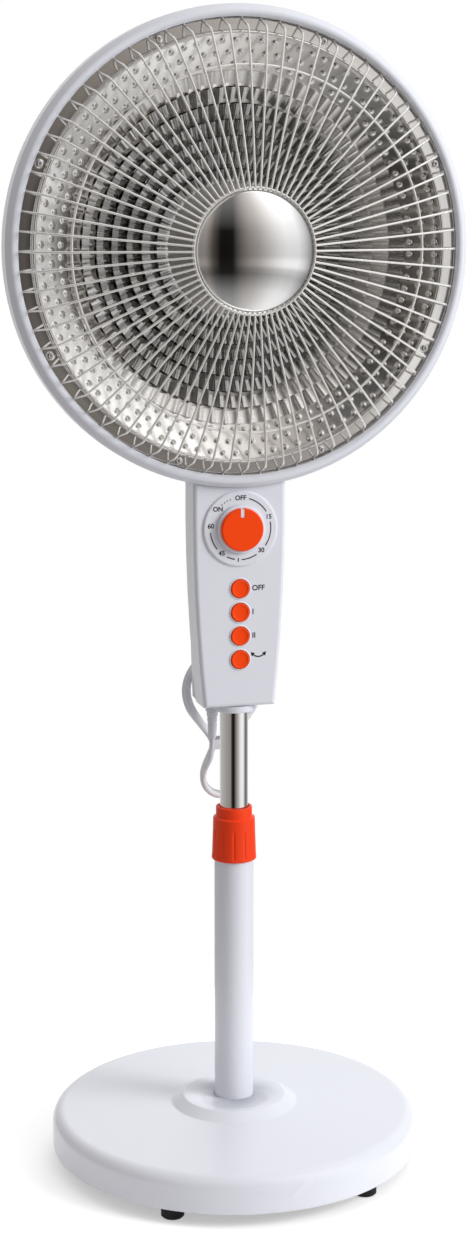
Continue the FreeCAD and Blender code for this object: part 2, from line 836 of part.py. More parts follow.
rear = start("control_rear")
pad(rear, "XZ_Plane", -P.box_back, P.box_back - P.box_split, outlines=[box_outline])
hump_pad = pad(rear, "XZ_Plane", -P.hump_back, P.hump_back - P.box_back, outlines=[[
    (-P.hump_low_half, P.hump_bottom), (P.hump_low_half, P.hump_bottom),
    (P.hump_flare_half, P.hump_flare_z), (P.hump_mid_half, P.hump_mid_z),
    (P.spine_half, P.spine_top), (-P.spine_half, P.spine_top),
    (-P.hump_mid_half, P.hump_mid_z), (-P.hump_flare_half, P.hump_flare_z)]])


def spine_edge(edge):
    spots = [v.Point for v in edge.Vertexes]
    if len(spots) != 2:
        return False
    across = abs(spots[0].y - spots[1].y) > 1
    return across and all(abs(p.z - P.spine_top.v) < 1e-3 for p in spots)


def hump_edge(edge):
    spots = [v.Point for v in edge.Vertexes]
    back = all(abs(p.y - P.hump_back.v) < 1e-3 for p in spots)
    return back and any(p.z > P.hump_flare_z.v + 1 for p in spots)


spine_fillet = soften(rear, hump_pad, P.spine_round, spine_edge)
soften(rear, spine_fillet, P.box_round, hump_edge)
pocket(rear, "XZ_Plane", -P.box_split, P.box_back - P.box_split, outlines=[box_inside])
hump_slope = (P.hump_mid_half - P.hump_flare_half) / (P.hump_mid_z - P.hump_flare_z)
hump_inner_top = P.hump_flare_half - P.box_wall + hump_slope * (P.cavity_top - P.hump_flare_z)
pocket(rear, "XZ_Plane", -P.box_split, P.hump_back - P.box_wall - P.box_split, outlines=[[
    (P.box_wall - P.hump_flare_half, inner_low), (P.hump_flare_half - P.box_wall, inner_low),
    (hump_inner_top, P.cavity_top), (-hump_inner_top, P.cavity_top)]])
pocket(rear, "XY_Plane", inner_low, inner_low - P.hump_bottom,
       circles=[(0, 0, P.socket_r + P.saddle_gap)])
saddle(rear, P.saddle_gap)

sleeve_top = P.hub_top - P.swing_gap
tube("swing_sleeve", P.hub_r + P.slide_fit, P.sleeve_r, inner_low, sleeve_top)

# Swing drive: motor on a bracket, crank below it

bracket = start("motor_bracket")
bracket_low = P.motor_z - P.bracket_thick
bracket_back = P.hump_back - P.box_wall
pad(bracket, "XY_Plane", bracket_low, P.bracket_thick, outlines=[[
    (-P.bracket_half, P.box_back), (P.bracket_half, P.box_back),
    (P.bracket_half, bracket_back), (-P.bracket_half, bracket_back)]])
pocket(bracket, "XY_Plane", P.motor_z, P.bracket_thick,
       circles=[(0, P.crank_y, P.crank_shaft_r + P.crank_clear)])

motor = start("swing_motor")
pad(motor, "XY_Plane", P.motor_z, P.motor_thick, circles=[(0, P.motor_y, P.motor_r)])
pocket(motor, "XY_Plane", P.motor_z, P.crank_shaft_len, along=True,
       circles=[(0, P.crank_y, P.crank_shaft_r + P.shaft_fit)])

crank = start("swing_crank")
crank_top = bracket_low - P.swing_gap
crank_low = crank_top - P.crank_thick
pad(crank, "XY_Plane", crank_low, P.crank_thick, circles=[(0, P.crank_y, P.crank_r)])
pad(crank, "XY_Plane", crank_top, P.motor_z + P.crank_shaft_len - crank_top - P.crank_clear,
    circles=[(0, P.crank_y, P.crank_shaft_r)])
pin_low = P.hub_top + P.yoke_thick + P.swing_gap
pad(crank, "XY_Plane", pin_low, crank_low - pin_low,
    circles=[(0, P.crank_y - P.crank_throw, P.crank_pin_r)])

block = start("terminal_block")
pad(block, "XZ_Plane", -bracket_back, P.block_deep, outlines=[[
    (-P.block_half, P.block_z), (P.block_half, P.block_z),
    (P.block_half, P.block_z + P.block_high), (-P.block_half, P.block_z + P.block_high)]])

# Timer and push switch behind the panel

inside_face = P.box_front - P.box_wall
timer = start("timer_body")
pad(timer, "XZ_Plane", inside_face - P.timer_depth, P.timer_depth, outlines=[[
    (-P.timer_half, P.dial_z - P.timer_half), (P.timer_half, P.dial_z - P.timer_half),
    (P.timer_half, P.dial_z + P.timer_half), (-P.timer_half, P.dial_z + P.timer_half)]])
pocket(timer, "XZ_Plane", inside_face, P.shaft_depth,
       circles=[(0, P.dial_z, P.shaft_r + P.shaft_fit)])

switch = start("switch_block")
pad(switch, "XZ_Plane", P.switch_front - P.switch_depth, P.switch_depth, outlines=[[
    (-P.switch_half, P.switch_low), (P.switch_half, P.switch_low),
    (P.switch_half, P.switch_high), (-P.switch_half, P.switch_high)]])
pocket(switch, "XZ_Plane", P.switch_front, P.bore_depth,
       circles=[(0, z, P.button_stem_r + P.button_gap) for z in button_heights])

# Timer knob: white skirt, orange cap with a pointer notch, steel shaft

skirt_back = P.box_front + P.bezel_high + P.knob_gap
skirt_front = skirt_back + P.skirt_thick
cap_front = skirt_front + P.cap_thick
notch_low = P.dial_z + P.cap_r - P.pointer_len

skirt = start("knob_skirt")
skirt_pad = pad(skirt, "XZ_Plane", skirt_back, P.skirt_thick, circles=[(0, P.dial_z, P.skirt_r)])
soften(skirt, skirt_pad, P.skirt_round, lambda edge: isinstance(edge.Curve, Part.Circle)
       and abs(edge.Curve.Center.y + skirt_front.v) < 1e-3)
pocket(skirt, "XZ_Plane", skirt_front, P.skirt_thick, circles=[(0, P.dial_z, P.shaft_r + P.shaft_fit)])
pointer_half = P.pointer_width / 2 - P.shaft_fit
pad(skirt, "XZ_Plane", skirt_front, P.cap_thick - P.knob_gap, outlines=[[
    (-pointer_half, notch_low + P.shaft_fit), (pointer_half, notch_low + P.shaft_fit),
    (pointer_half, P.dial_z + P.cap_r - P.pointer_end), (-pointer_half, P.dial_z + P.cap_r - P.pointer_end)]])

cap = start("knob_cap")
cap_pad = pad(cap, "XZ_Plane", skirt_front, P.cap_thick, circles=[(0, P.dial_z, P.cap_r)])
soften(cap, cap_pad, P.cap_round, lambda edge: isinstance(edge.Curve, Part.Circle)
       and abs(edge.Curve.Center.y + cap_front.v) < 1e-3)
pocket(cap, "XZ_Plane", cap_front, P.cap_thick, outlines=[[
    (-P.pointer_width / 2, notch_low), (P.pointer_width / 2, notch_low),
    (P.pointer_width / 2, P.dial_z + P.cap_r + P.pointer_end), (-P.pointer_width / 2, P.dial_z + P.cap_r + P.pointer_end)]])

shaft = start("timer_shaft")
shaft_tail = inside_face - P.shaft_depth + P.shaft_end
pad(shaft, "XZ_Plane", shaft_tail, skirt_front - shaft_tail, circles=[(0, P.dial_z, P.shaft_r)])

# Four orange push buttons

for tag, z in zip(("swing", "full", "half", "off"), button_heights):
    button = start("button_" + tag)
    back = inside_face - P.button_sink
    tip = P.box_front + P.button_proud
    button_pad = pad(button, "XZ_Plane", back, tip - back, circles=[(0, z, P.button_r)])
    soften(button, button_pad, P.button_round, lambda edge, tip=tip: isinstance(edge.Curve, Part.Circle)
           and abs(edge.Curve.Center.y + tip.v) < 1e-3)
    pad(button, "XZ_Plane", back - P.button_stem_len, P.button_stem_len,
        circles=[(0, z, P.button_stem_r)])

# Head: white ring, dish shell with vents

trim = start("trim_ring", True)
trim_turn = turn(trim, [
    (P.ring_r - P.ring_wall, P.ring_back),
    (P.ring_r, P.ring_back),
    (P.ring_r, P.ring_front - P.ring_bevel_deep),
    (P.ring_r - P.ring_bevel_wide, P.ring_front),
    (P.ring_bore + P.ring_chamfer, P.ring_front),
    (P.ring_bore, P.ring_front - P.ring_chamfer),
    (P.ring_bore, P.ring_lip_w),
    (P.ring_groove_r, P.ring_lip_w),
    (P.ring_groove_r, P.seat_w),
    (P.ring_r - P.ring_wall, P.seat_w),
])
soften(trim, trim_turn, P.ring_round, any_of(circle_at(P.ring_r, P.ring_front - P.ring_bevel_deep),
                                    circle_at(P.ring_r - P.ring_bevel_wide, P.ring_front),
                                    circle_at(P.ring_bore + P.ring_chamfer, P.ring_front)))

shell = start("rear_shell", True)
shell_in = P.shell_r - P.shell_wall
back_in = P.shell_back_w + P.shell_wall
seat_back = P.seat_w - P.sheet_thick
inner_two = P.shell_r_two - P.shell_wall * 0.8
inner_w_two = P.shell_w_two + P.shell_wall * 0.6
inner_three = P.shell_r_three - P.shell_wall * 0.35
shell_turn = turn(shell, [
    (0, P.shell_back_w),
    (P.shell_r_four, P.shell_back_w),
    (P.shell_r_three, P.shell_w_three),
    (P.shell_r_two, P.shell_w_two),
    (P.shell_r, P.shell_side_w),
    (P.shell_r, seat_back - P.draft),
    (shell_in, seat_back - P.draft),
    (shell_in, P.shell_side_w + P.shell_wall * 0.2),
    (inner_two, inner_w_two),
    (inner_three, P.shell_w_three + P.shell_wall),
    (P.shell_r_four - P.shell_wall * 0.1, back_in),
    (0, back_in),
])
soften(shell, shell_turn, P.shell_round, any_of(
    circle_at(P.shell_r_two, P.shell_w_two), circle_at(P.shell_r_three, P.shell_w_three),
    circle_at(inner_two, inner_w_two), circle_at(inner_three, P.shell_w_three + P.shell_wall)))
vent = pocket(shell, "XY_Plane", P.shell_back_w - P.shell_wall, P.shell_wall * 3, along=True, outlines=[[
    (-P.vent_width / 2, P.vent_low_r), (P.vent_width / 2, P.vent_low_r),
    (P.vent_width / 2, P.vent_high_r), (-P.vent_width / 2, P.vent_high_r)]])
for sign in (1, -1):
    fan = shell.newObject("PartDesign::PolarPattern", "vent_fan")
    fan.Originals = [vent]
    fan.Axis = (vent.Profile[0], ["N_Axis"])
    fan.Angle = P.vent_span.v / 2
    fan.setExpression("Angle", (P.vent_span / 2).s)
    half_count = (P.vent_count + 1) / 2
    fan.Occurrences = int(half_count.v)
    fan.setExpression("Occurrences", half_count.s)
    fan.Reversed = sign < 0
    shell.Tip = fan
    doc.recompute()

# Reflector: pressed sheet with a flange, a rolled lip and tiers of facets

tier_count = 6
rows = [(P.seat_r, P.seat_w), (P.lip_r, P.seat_w - P.draft), (P.lip_r - P.lip_lean, P.lip_w),
        (P.lip_r - P.lip_width, P.lip_w + P.draft), (P.lip_r - P.lip_width - P.lip_lean, P.band_w),
        (P.tier_r, P.tier_w)]


def tier_at(part):
    """Radius and depth along the bowl, 0 at the first tier, 1 at the core."""
    radius = P.tier_r + (P.core_r - P.tier_r) * part
    depth = P.tier_w + (P.core_w - P.tier_w) * part - P.tier_bow * (4.0 * part * (1.0 - part))
    return radius, depth


for tier in range(tier_count):
    outer_r, outer_w = tier_at(tier / tier_count)
    inner_r, inner_w = tier_at((tier + 1) / tier_count)
    rows.append((outer_r - P.tier_lap, outer_w - P.tier_step))
    rows.append((inner_r + P.tier_lap, inner_w + P.tier_step * 0.35))
    rows.append((inner_r, inner_w))
core_front = P.core_w - P.core_drop
under = P.sheet_thick
rows.append((P.core_r - P.core_drop, core_front - P.draft))
rows.append((P.core_bore, core_front))
rows.append((P.core_bore, core_front - under))
rows.append((P.core_r, core_front - under - P.draft))
for tier in range(tier_count, -1, -2):
    radius, depth = tier_at(tier / tier_count)
    rows.append((radius + P.lip_lean, depth - P.tier_step - under))
rows.append((P.lip_r - P.lip_width - under, P.band_w - under * 1.6))
rows.append((P.lip_r + P.lip_lean, P.seat_w - under - P.draft))
rows.append((P.seat_r, P.seat_w - under))

polygons = []
for number, (radius, depth) in enumerate(rows):
    poly = doc.addObject("Part::RegularPolygon", "reflector_row_%d" % number)
    poly.Polygon = int(P.facet_count.v)
    poly.setExpression("Polygon", P.facet_count.s)
    poly.Circumradius = radius.v
    poly.setExpression("Circumradius", radius.s)
    at = Vec(0, 0, depth.v)
    poly.Placement = FreeCAD.Placement(at, FreeCAD.Rotation())
    poly.setExpression("Placement.Base.z", depth.s)
    polygons.append(poly)
doc.recompute()
reflector = doc.addObject("Part::Loft", "reflector")
reflector.Sections = polygons
reflector.Solid = True
reflector.Ruled = True
reflector.Closed = True
reflector.Label = "reflector"
reflector.Placement = FreeCAD.Placement(Vec(0, 0, P.head_z.v), FreeCAD.Rotation(Vec(1, 0, 0), 90))
reflector.setExpression("Placement.Base.z", P.head_z.s)
NODES.append(reflector)
doc.recompute()

# Grille: bent spokes welded to a rim wire, a middle wire and a hub wire

grille = start("grille", True)
for orbit, height, thick in ((P.rim_orbit, P.rim_w, P.rim_wire_r),
                             (P.mid_orbit, P.mid_w - P.weld_sink * 1.6, P.mid_wire_r),
                             (P.hub_orbit, P.hub_w, P.hub_wire_r)):
    sk = sketch_on(grille, "XZ_Plane")
    ring(sk, orbit, height, thick)
    hoop = grille.newObject("PartDesign::Revolution", "grille_hoop")
    hoop.Profile = sk
    hoop.ReferenceAxis = (sk, ["V_Axis"])
    hoop.Angle = 360
doc.recompute()

path = sketch_on(grille, "XZ_Plane")
knots = [(P.rim_orbit - P.weld_sink, P.rim_w), (P.toe_r, P.rim_w), (P.bend_r, P.bend_w),
         (P.mid_orbit, P.mid_w), (P.hub_orbit, P.hub_w + P.weld_sink * 0.5)]
runs = len(knots) - 1
for i in range(runs):
    a = knots[i]
    b = knots[i + 1]
    path.addGeometry(Part.LineSegment(Vec(a[0].v, a[1].v, 0), Vec(b[0].v, b[1].v, 0)), False)
for i in range(runs - 1):
    path.addConstraint(Sketcher.Constraint("Coincident", i, 2, i + 1, 1))
for i in range(runs):
    pin(path, i, 1, knots[i][0], knots[i][1])
pin(path, runs - 1, 2, knots[runs][0], knots[runs][1])
doc.recompute()

section = grille.newObject("Sketcher::SketchObject", "spoke_section")
section.AttachmentSupport = [(path, "Edge1")]
section.MapMode = "NormalToEdge"
section.MapPathParameter = 0.0
wire = section.addGeometry(Part.Circle(Vec(0, 0, 0), Vec(0, 0, 1), P.wire_r.v), False)
section.addConstraint(Sketcher.Constraint("Coincident", wire, 3, -1, 1))
rule(section, "Radius", (wire,), P.wire_r)
doc.recompute()
spoke = grille.newObject("PartDesign::AdditivePipe", "spoke")
spoke.Profile = section
spoke.Spine = (path, ["Edge%d" % (i + 1) for i in range(runs)])
spoke.Transition = "Right corner"
doc.recompute()
spokes = grille.newObject("PartDesign::PolarPattern", "spokes")
spokes.Originals = [spoke]
spokes.Axis = (path, ["V_Axis"])
spokes.Angle = 360
spokes.Occurrences = int(P.spoke_count.v)
spokes.setExpression("Occurrences", P.spoke_count.s)
grille.Tip = spokes
doc.recompute()

# Dome over the element, carried in the hub wire

lip_top = P.hub_w - P.hub_wire_r
lip_low = lip_top - P.dome_lip_thick
dome_base = P.hub_w
dome = start("dome_cap", True)
sk = sketch_on(dome, "XZ_Plane")
sphere = (P.dome_r * P.dome_r + P.dome_sag * P.dome_sag) / (P.dome_sag * 2.0)
apex = dome_base + P.dome_sag
centre = apex - sphere


def cap_arc(radius, edge_r):
    low = math.acos(edge_r / radius)
    arc = Part.Circle(Vec(0, centre.v, 0), Vec(0, 0, 1), radius)
    return Part.ArcOfCircle(arc, low, math.pi / 2)


wall_r = P.dome_r - P.dome_wall
under_r = sphere - P.dome_wall
outer_arc = sk.addGeometry(cap_arc(sphere.v, P.dome_r.v), False)
inner_arc = sk.addGeometry(cap_arc(under_r.v, wall_r.v), False)
outer_end = sk.getPoint(outer_arc, 1)
inner_end = sk.getPoint(inner_arc, 1)
spots = [Vec(P.dome_r.v, dome_base.v, 0), Vec(P.dome_r.v, lip_top.v, 0),
         Vec(P.dome_lip_r.v, lip_top.v, 0), Vec(P.dome_lip_r.v, lip_low.v, 0),
         Vec(wall_r.v, lip_low.v, 0), Vec(wall_r.v, inner_end.y, 0)]
lines = [sk.addGeometry(Part.LineSegment(spots[i], spots[i + 1]), False) for i in range(5)]
axis_line = sk.addGeometry(Part.LineSegment(Vec(0, apex.v, 0), Vec(0, apex.v - P.dome_wall.v, 0)), False)
sk.addConstraint(Sketcher.Constraint("Coincident", outer_arc, 1, lines[0], 1))
for i in range(4):
    sk.addConstraint(Sketcher.Constraint("Coincident", lines[i], 2, lines[i + 1], 1))
sk.addConstraint(Sketcher.Constraint("Coincident", lines[4], 2, inner_arc, 1))
sk.addConstraint(Sketcher.Constraint("Coincident", outer_arc, 2, axis_line, 1))
sk.addConstraint(Sketcher.Constraint("Coincident", inner_arc, 2, axis_line, 2))
sk.addConstraint(Sketcher.Constraint("PointOnObject", outer_arc, 3, -2))
sk.addConstraint(Sketcher.Constraint("Coincident", inner_arc, 3, outer_arc, 3))
pin(sk, lines[0], 1, P.dome_r, dome_base)
pin(sk, lines[1], 1, P.dome_r, lip_top)
pin(sk, lines[2], 1, P.dome_lip_r, lip_top)
pin(sk, lines[3], 1, P.dome_lip_r, lip_low)
pin(sk, lines[4], 1, wall_r, lip_low)
rule(sk, "DistanceX", (-1, 1, lines[4], 2), wall_r)
sk.addConstraint(Sketcher.Constraint("PointOnObject", axis_line, 1, -2))
rule(sk, "DistanceY", (-1, 1, axis_line, 1), apex)
sk.addConstraint(Sketcher.Constraint("PointOnObject", axis_line, 2, -2))
rule(sk, "DistanceY", (-1, 1, axis_line, 2), apex - P.dome_wall)
dome_turn = dome.newObject("PartDesign::Revolution", "dome_turn")
dome_turn.Profile = sk
dome_turn.ReferenceAxis = (sk, ["V_Axis"])
dome_turn.Angle = 360
doc.recompute()

back_low = lip_low - P.back_thick
rod("dome_back", 0, 0, P.dome_lip_r - P.dome_wall, back_low, lip_low, True)

# Element: two carbon lamps between ceramic holders, carried on a bracket

cap_low = back_low - P.cap_core_len
rod("element_cap", 0, 0, P.cap_core_r, cap_low, back_low, True)
for tag, sign in (("left", -1), ("right", 1)):
    quartz = start("quartz_tube_" + tag, True)
    spot = P.quartz_offset * sign
    pad(quartz, "XY_Plane", P.base_core_w, cap_low - P.base_core_w,
        circles=[(spot, 0, P.quartz_r), (spot, 0, P.quartz_r - P.quartz_wall)])
    rod("carbon_" + tag, spot, 0, P.carbon_r, P.base_core_w, cap_low, True)

holder = start("element_base", True)
turn(holder, [
    (0, P.base_core_back),
    (P.base_core_r, P.base_core_back),
    (P.base_core_r, core_front),
    (P.collar_r, core_front),
    (P.collar_r, core_front + P.collar_thick),
    (P.base_core_r, core_front + P.collar_thick),
    (P.base_core_r, P.base_core_w),
    (0, P.base_core_w),
])
rod("element_bracket", 0, 0, P.bracket_core_r, back_in, P.base_core_back, True)

# Mains lead: strain relief, hank of loops drawn in at a tie, plug

relief = start("strain_relief")
turn(relief, [
    (0, P.relief_tip_z), (P.relief_tip_r, P.relief_tip_z),
    (P.relief_r, P.hump_bottom - P.relief_rim_high),
    (P.relief_r + P.relief_rim, P.hump_bottom - P.relief_rim_high),
    (P.relief_r + P.relief_rim, P.hump_bottom), (0, P.hump_bottom),
])
relief.Placement = FreeCAD.Placement(Vec(P.relief_x.v, P.relief_y.v, 0), FreeCAD.Rotation())
relief.setExpression("Placement.Base.x", P.relief_x.s)
relief.setExpression("Placement.Base.y", P.relief_y.s)

UP = Vec(0, 0, 1)
DOWN = Vec(0, 0, -1)
LEFT = Vec(-1, 0, 0)
RIGHT = Vec(1, 0, 0)
cord_d = P.cord_d.v
mid_x = P.hank_x.v
route = []
tip = Vec(P.relief_x.v, P.relief_y.v, P.relief_tip_z.v)
route.append((tip, DOWN))
route.append((tip + DOWN * cord_d, DOWN))
turns = int(P.hank_loops.v)
for number in range(turns + 1):
    y = P.hank_y.v + P.hank_step.v * number
    spread = P.loop_spread.v * math.sin(2.0 * number)
    low = P.low_half.v + 0.3 * abs(spread)
    high = P.high_half.v + spread
    if number:
        route.append((Vec(mid_x - P.waist_half.v, y, P.waist_z.v), DOWN))
    route.append((Vec(mid_x - low, y, P.low_z.v), DOWN))
    route.append((Vec(mid_x, y, P.low_z.v - low), RIGHT))
    route.append((Vec(mid_x + low, y, P.low_z.v), UP))
    route.append((Vec(mid_x + P.waist_half.v, y, P.waist_z.v), UP))
    route.append((Vec(mid_x + high, y, P.high_z.v), UP))
    if number < turns:
        route.append((Vec(mid_x, y, P.high_z.v + high), LEFT))
        route.append((Vec(mid_x - high, y, P.high_z.v), DOWN))
plug_top = Vec(P.plug_x.v, P.plug_y.v, P.plug_z.v)
last = route[-1][0]
bow = (plug_top.y - last.y) / 2
crest = Vec((last.x + plug_top.x) / 2, (last.y + plug_top.y) / 2, plug_top.z + cord_d + bow)
over = Vec(plug_top.x - last.x, plug_top.y - last.y, 0)
over.normalize()
route.append((Vec(last.x, last.y, plug_top.z + cord_d), UP))
route.append((crest, over))
route.append((plug_top + UP * cord_d, DOWN))
route.append((plug_top, DOWN))


def bulge(a, heading, b):
    """Middle point, length and radius of the arc from a along heading to b."""
    chord = b - a
    size = chord.Length
    along = chord * (1.0 / size)
    lean = heading - along * heading.dot(along)
    half = math.acos(max(-1.0, min(1.0, heading.dot(along))))
    lean.normalize()
    middle = (a + b) * 0.5 + lean * (size / 2 * math.tan(half / 2))
    radius = size / (2 * math.sin(half))
    return middle, 2 * half * radius, radius


edges = []
length = 0.0
radii = []
for (a, ta), (b, tb) in zip(route, route[1:]):
    span = b - a
    share = 2 * (1 - ta.dot(tb))
    both = span.dot(ta + tb)
    if share < 1e-9 and (span - ta * span.dot(ta)).Length < 1e-6:
        edges.append(Part.LineSegment(a, b).toShape())
        length += span.Length
        continue
    if share < 1e-9:
        reach = span.dot(span) / (4 * span.dot(ta))
    else:
        reach = (math.sqrt(both * both + share * span.dot(span)) - both) / share
    joint = (a + ta * reach + b - tb * reach) * 0.5
    for here, heading, there in ((a, ta, joint), (b, tb * -1, joint)):
        middle, bend_len, bend_r = bulge(here, heading, there)
        if here is a:
            edges.append(Part.Arc(a, middle, joint).toShape())
        else:
            edges.append(Part.Arc(joint, middle, b).toShape())
        length += bend_len
        radii.append(bend_r)

spine = Part.Wire(edges)
disc = Part.Wire(Part.Circle(tip, DOWN, cord_d / 2).toShape())
cord_shape = spine.makePipeShell([disc], True, False)
cord = doc.addObject("Part::Feature", "cord_hank")
cord.Label = "cord_hank"
cord.Shape = cord_shape
NODES.append(cord)
marks = spine.discretize(Distance=2.0)
apart = int(cord_d * 2.2)
least = min((marks[i] - marks[j]).Length for i in range(len(marks))
            for j in range(i + apart, len(marks)))
print("cord length", round(length, 1), "least bend radius", round(min(radii), 1),
      "least gap", round(least - cord_d, 2),
      "volume share", round(cord_shape.Volume / (math.pi * cord_d ** 2 / 4 * length), 4))

tie = start("cord_tie")
tie_half = P.waist_half + P.cord_d / 2 + P.tie_gap
tie_front = P.hank_y - P.cord_d / 2 - P.tie_gap
tie_back = P.hank_y + P.hank_step * P.hank_loops + P.cord_d / 2 + P.tie_gap
tie_low = P.waist_z - P.tie_high / 2
pad(tie, "XY_Plane", tie_low, P.tie_high, outlines=[
    [(P.hank_x - tie_half - P.tie_thick, tie_front - P.tie_thick),
     (P.hank_x + tie_half + P.tie_thick, tie_front - P.tie_thick),
     (P.hank_x + tie_half + P.tie_thick, tie_back + P.tie_thick),
     (P.hank_x - tie_half - P.tie_thick, tie_back + P.tie_thick)],
    [(P.hank_x - tie_half, tie_front), (P.hank_x + tie_half, tie_front),
     (P.hank_x + tie_half, tie_back), (P.hank_x - tie_half, tie_back)]])

plug = start("plug_body")
plug_turn = turn(plug, [
    (0, -P.plug_len), (P.plug_r, -P.plug_len), (P.plug_r, P.plug_len * -0.55),
    (P.plug_neck_r, P.plug_len * -0.3), (P.plug_neck_r - P.plug_neck_taper, 0), (0, 0)])
pins = start("plug_pins")
pad(pins, "XY_Plane", -P.plug_len - P.plug_pin_len, P.plug_pin_len,
    circles=[(-P.plug_pin_pitch / 2, 0, P.plug_pin_r), (P.plug_pin_pitch / 2, 0, P.plug_pin_r)])
for piece in (plug, pins):
    piece.Placement = FreeCAD.Placement(plug_top, FreeCAD.Rotation())
    piece.setExpression("Placement.Base.x", P.plug_x.s)
    piece.setExpression("Placement.Base.y", P.plug_y.s)
    piece.setExpression("Placement.Base.z", P.plug_z.s)

# Checks and files

doc.recompute()
for item in doc.Objects:
    if "Invalid" in item.State or "Error" in item.State:
        raise ValueError("object in error: " + item.Name)
os.makedirs("parts", exist_ok=True)
for node in NODES:
    shape = node.Shape
    if shape.isNull() or not shape.isValid():
        raise ValueError("bad solid: " + node.Label)
    shape.exportStep("parts/%s.step" % node.Label)
print("nodes", len(NODES))
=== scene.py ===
import json
import math

import bpy
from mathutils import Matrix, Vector


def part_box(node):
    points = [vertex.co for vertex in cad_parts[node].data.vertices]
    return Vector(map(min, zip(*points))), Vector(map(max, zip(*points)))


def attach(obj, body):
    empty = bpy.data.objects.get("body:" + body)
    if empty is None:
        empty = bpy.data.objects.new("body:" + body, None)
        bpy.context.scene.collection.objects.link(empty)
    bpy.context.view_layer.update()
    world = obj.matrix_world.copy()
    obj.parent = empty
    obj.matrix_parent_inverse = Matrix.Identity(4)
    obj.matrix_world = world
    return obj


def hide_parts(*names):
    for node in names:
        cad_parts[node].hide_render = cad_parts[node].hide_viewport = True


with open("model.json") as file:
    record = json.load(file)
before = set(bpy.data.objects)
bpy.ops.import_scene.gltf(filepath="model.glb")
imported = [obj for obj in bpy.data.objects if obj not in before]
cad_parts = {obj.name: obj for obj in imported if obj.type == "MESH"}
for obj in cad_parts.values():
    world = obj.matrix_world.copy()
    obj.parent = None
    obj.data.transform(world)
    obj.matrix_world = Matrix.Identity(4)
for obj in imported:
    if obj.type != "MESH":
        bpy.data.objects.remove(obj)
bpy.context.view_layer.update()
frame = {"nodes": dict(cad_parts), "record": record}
scene = bpy.context.scene
scene.view_settings.view_transform = "Standard"

# Lengths are in millimetres unless a comment says metres
MM = 0.001
TURN = 2 * math.pi
# Seven angles through a quarter of a circle
QUARTER = [math.radians(15 * i) for i in range(7)]
HEAD_Z = 812.0


# Camera at the photograph's place, in metres and degrees

CAMERA_AT = (-0.522, -1.931, 0.876)
CAMERA_TILT = 79.04
CAMERA_TURN = -15.13
SENSOR = 36.0
LENS = 67.35
SHIFT = 1.4 / 1248


def make_camera():
    data = bpy.data.cameras.new("camera")
    data.sensor_width = SENSOR
    data.lens = LENS
    data.shift_x = SHIFT
    camera = bpy.data.objects.new("camera", data)
    camera.location = CAMERA_AT
    camera.rotation_euler = (math.radians(CAMERA_TILT), 0.0, math.radians(CAMERA_TURN))
    scene.collection.objects.link(camera)
    scene.camera = camera


make_camera()


# Materials; their sizes are in metres

LEAST_ROUGH = 0.02


class Shader:
    """A principled material with short calls for its procedural detail."""

    def __init__(self, name, colour, rough, metal=0.0):
        self.mat = bpy.data.materials.new(name)
        self.mat.use_nodes = True
        self.tree = self.mat.node_tree
        self.out = self.tree.nodes["Material Output"]
        self.main = self.tree.nodes["Principled BSDF"]
        self.colour = colour
        self.rough = rough
        self.set("Base Color", (*colour, 1.0))
        self.set("Roughness", rough)
        self.set("Metallic", metal)

    def set(self, socket, value):
        self.main.inputs[socket].default_value = value

    def add(self, kind, **values):
        node = self.tree.nodes.new(kind)
        for key, value in values.items():
            if key in node.inputs:
                node.inputs[key].default_value = value
            else:
                setattr(node, key, value)
        return node

    def link(self, source, target):
        self.tree.links.new(source, target)

    def place(self, stretch):
        coords = self.add("ShaderNodeTexCoord")
        mapping = self.add("ShaderNodeMapping", Scale=stretch)
        self.link(coords.outputs["Object"], mapping.inputs["Vector"])
        return mapping.outputs["Vector"]

    def noise(self, size, detail=3.0, stretch=(1.0, 1.0, 1.0)):
        node = self.add("ShaderNodeTexNoise", Scale=1.0 / size, Detail=detail)
        self.link(self.place(stretch), node.inputs["Vector"])
        return node.outputs["Fac"]

    def tint(self, fac, dark, light):
        """Colour between two multiples of the base colour."""
        ramp = self.add("ShaderNodeValToRGB")
        for stop, share, place in zip(ramp.color_ramp.elements, (dark, light), (0.0, 1.0)):
            stop.position = place
            stop.color = (*[min(1.0, c * share) for c in self.colour], 1.0)
        self.link(fac, ramp.inputs["Fac"])
        self.link(ramp.outputs["Color"], self.main.inputs["Base Color"])

    def polish(self, fac, spread):
        """Roughness that varies by spread about its own value."""
        span = self.add("ShaderNodeMapRange")
        span.inputs["To Min"].default_value = max(LEAST_ROUGH, self.rough - spread)
        span.inputs["To Max"].default_value = min(1.0, self.rough + spread)
        self.link(fac, span.inputs["Value"])
        self.link(span.outputs["Result"], self.main.inputs["Roughness"])

    def bump(self, fac, high, strength=1.0):
        node = self.add("ShaderNodeBump", Strength=strength, Distance=high)
        self.link(fac, node.inputs["Height"])
        self.link(node.outputs["Normal"], self.main.inputs["Normal"])


def fill_ramp(node, rows):
    stops = node.color_ramp.elements
    stops[0].position = 0.0
    stops[1].position = 1.0
    while len(stops) < len(rows):
        stops.new(0.5)
    for stop, (place, r, g, b) in zip(stops, rows):
        stop.position = place
        stop.color = (r, g, b, 1.0)


def moulded(name, colour, rough, peel=0.00001, gloss=0.5):
    """Moulded plastic: faint flow clouds, uneven gloss, fine skin."""
    s = Shader(name, colour, rough)
    s.tint(s.noise(size=0.12, detail=1.0), dark=0.98, light=1.0)
    s.polish(s.noise(size=0.05, detail=0.0), spread=0.02)
    s.bump(s.noise(size=0.004, detail=1.0), high=peel, strength=0.5)
    s.set("IOR", 1.5)
    s.set("Specular IOR Level", gloss)
    return s.mat


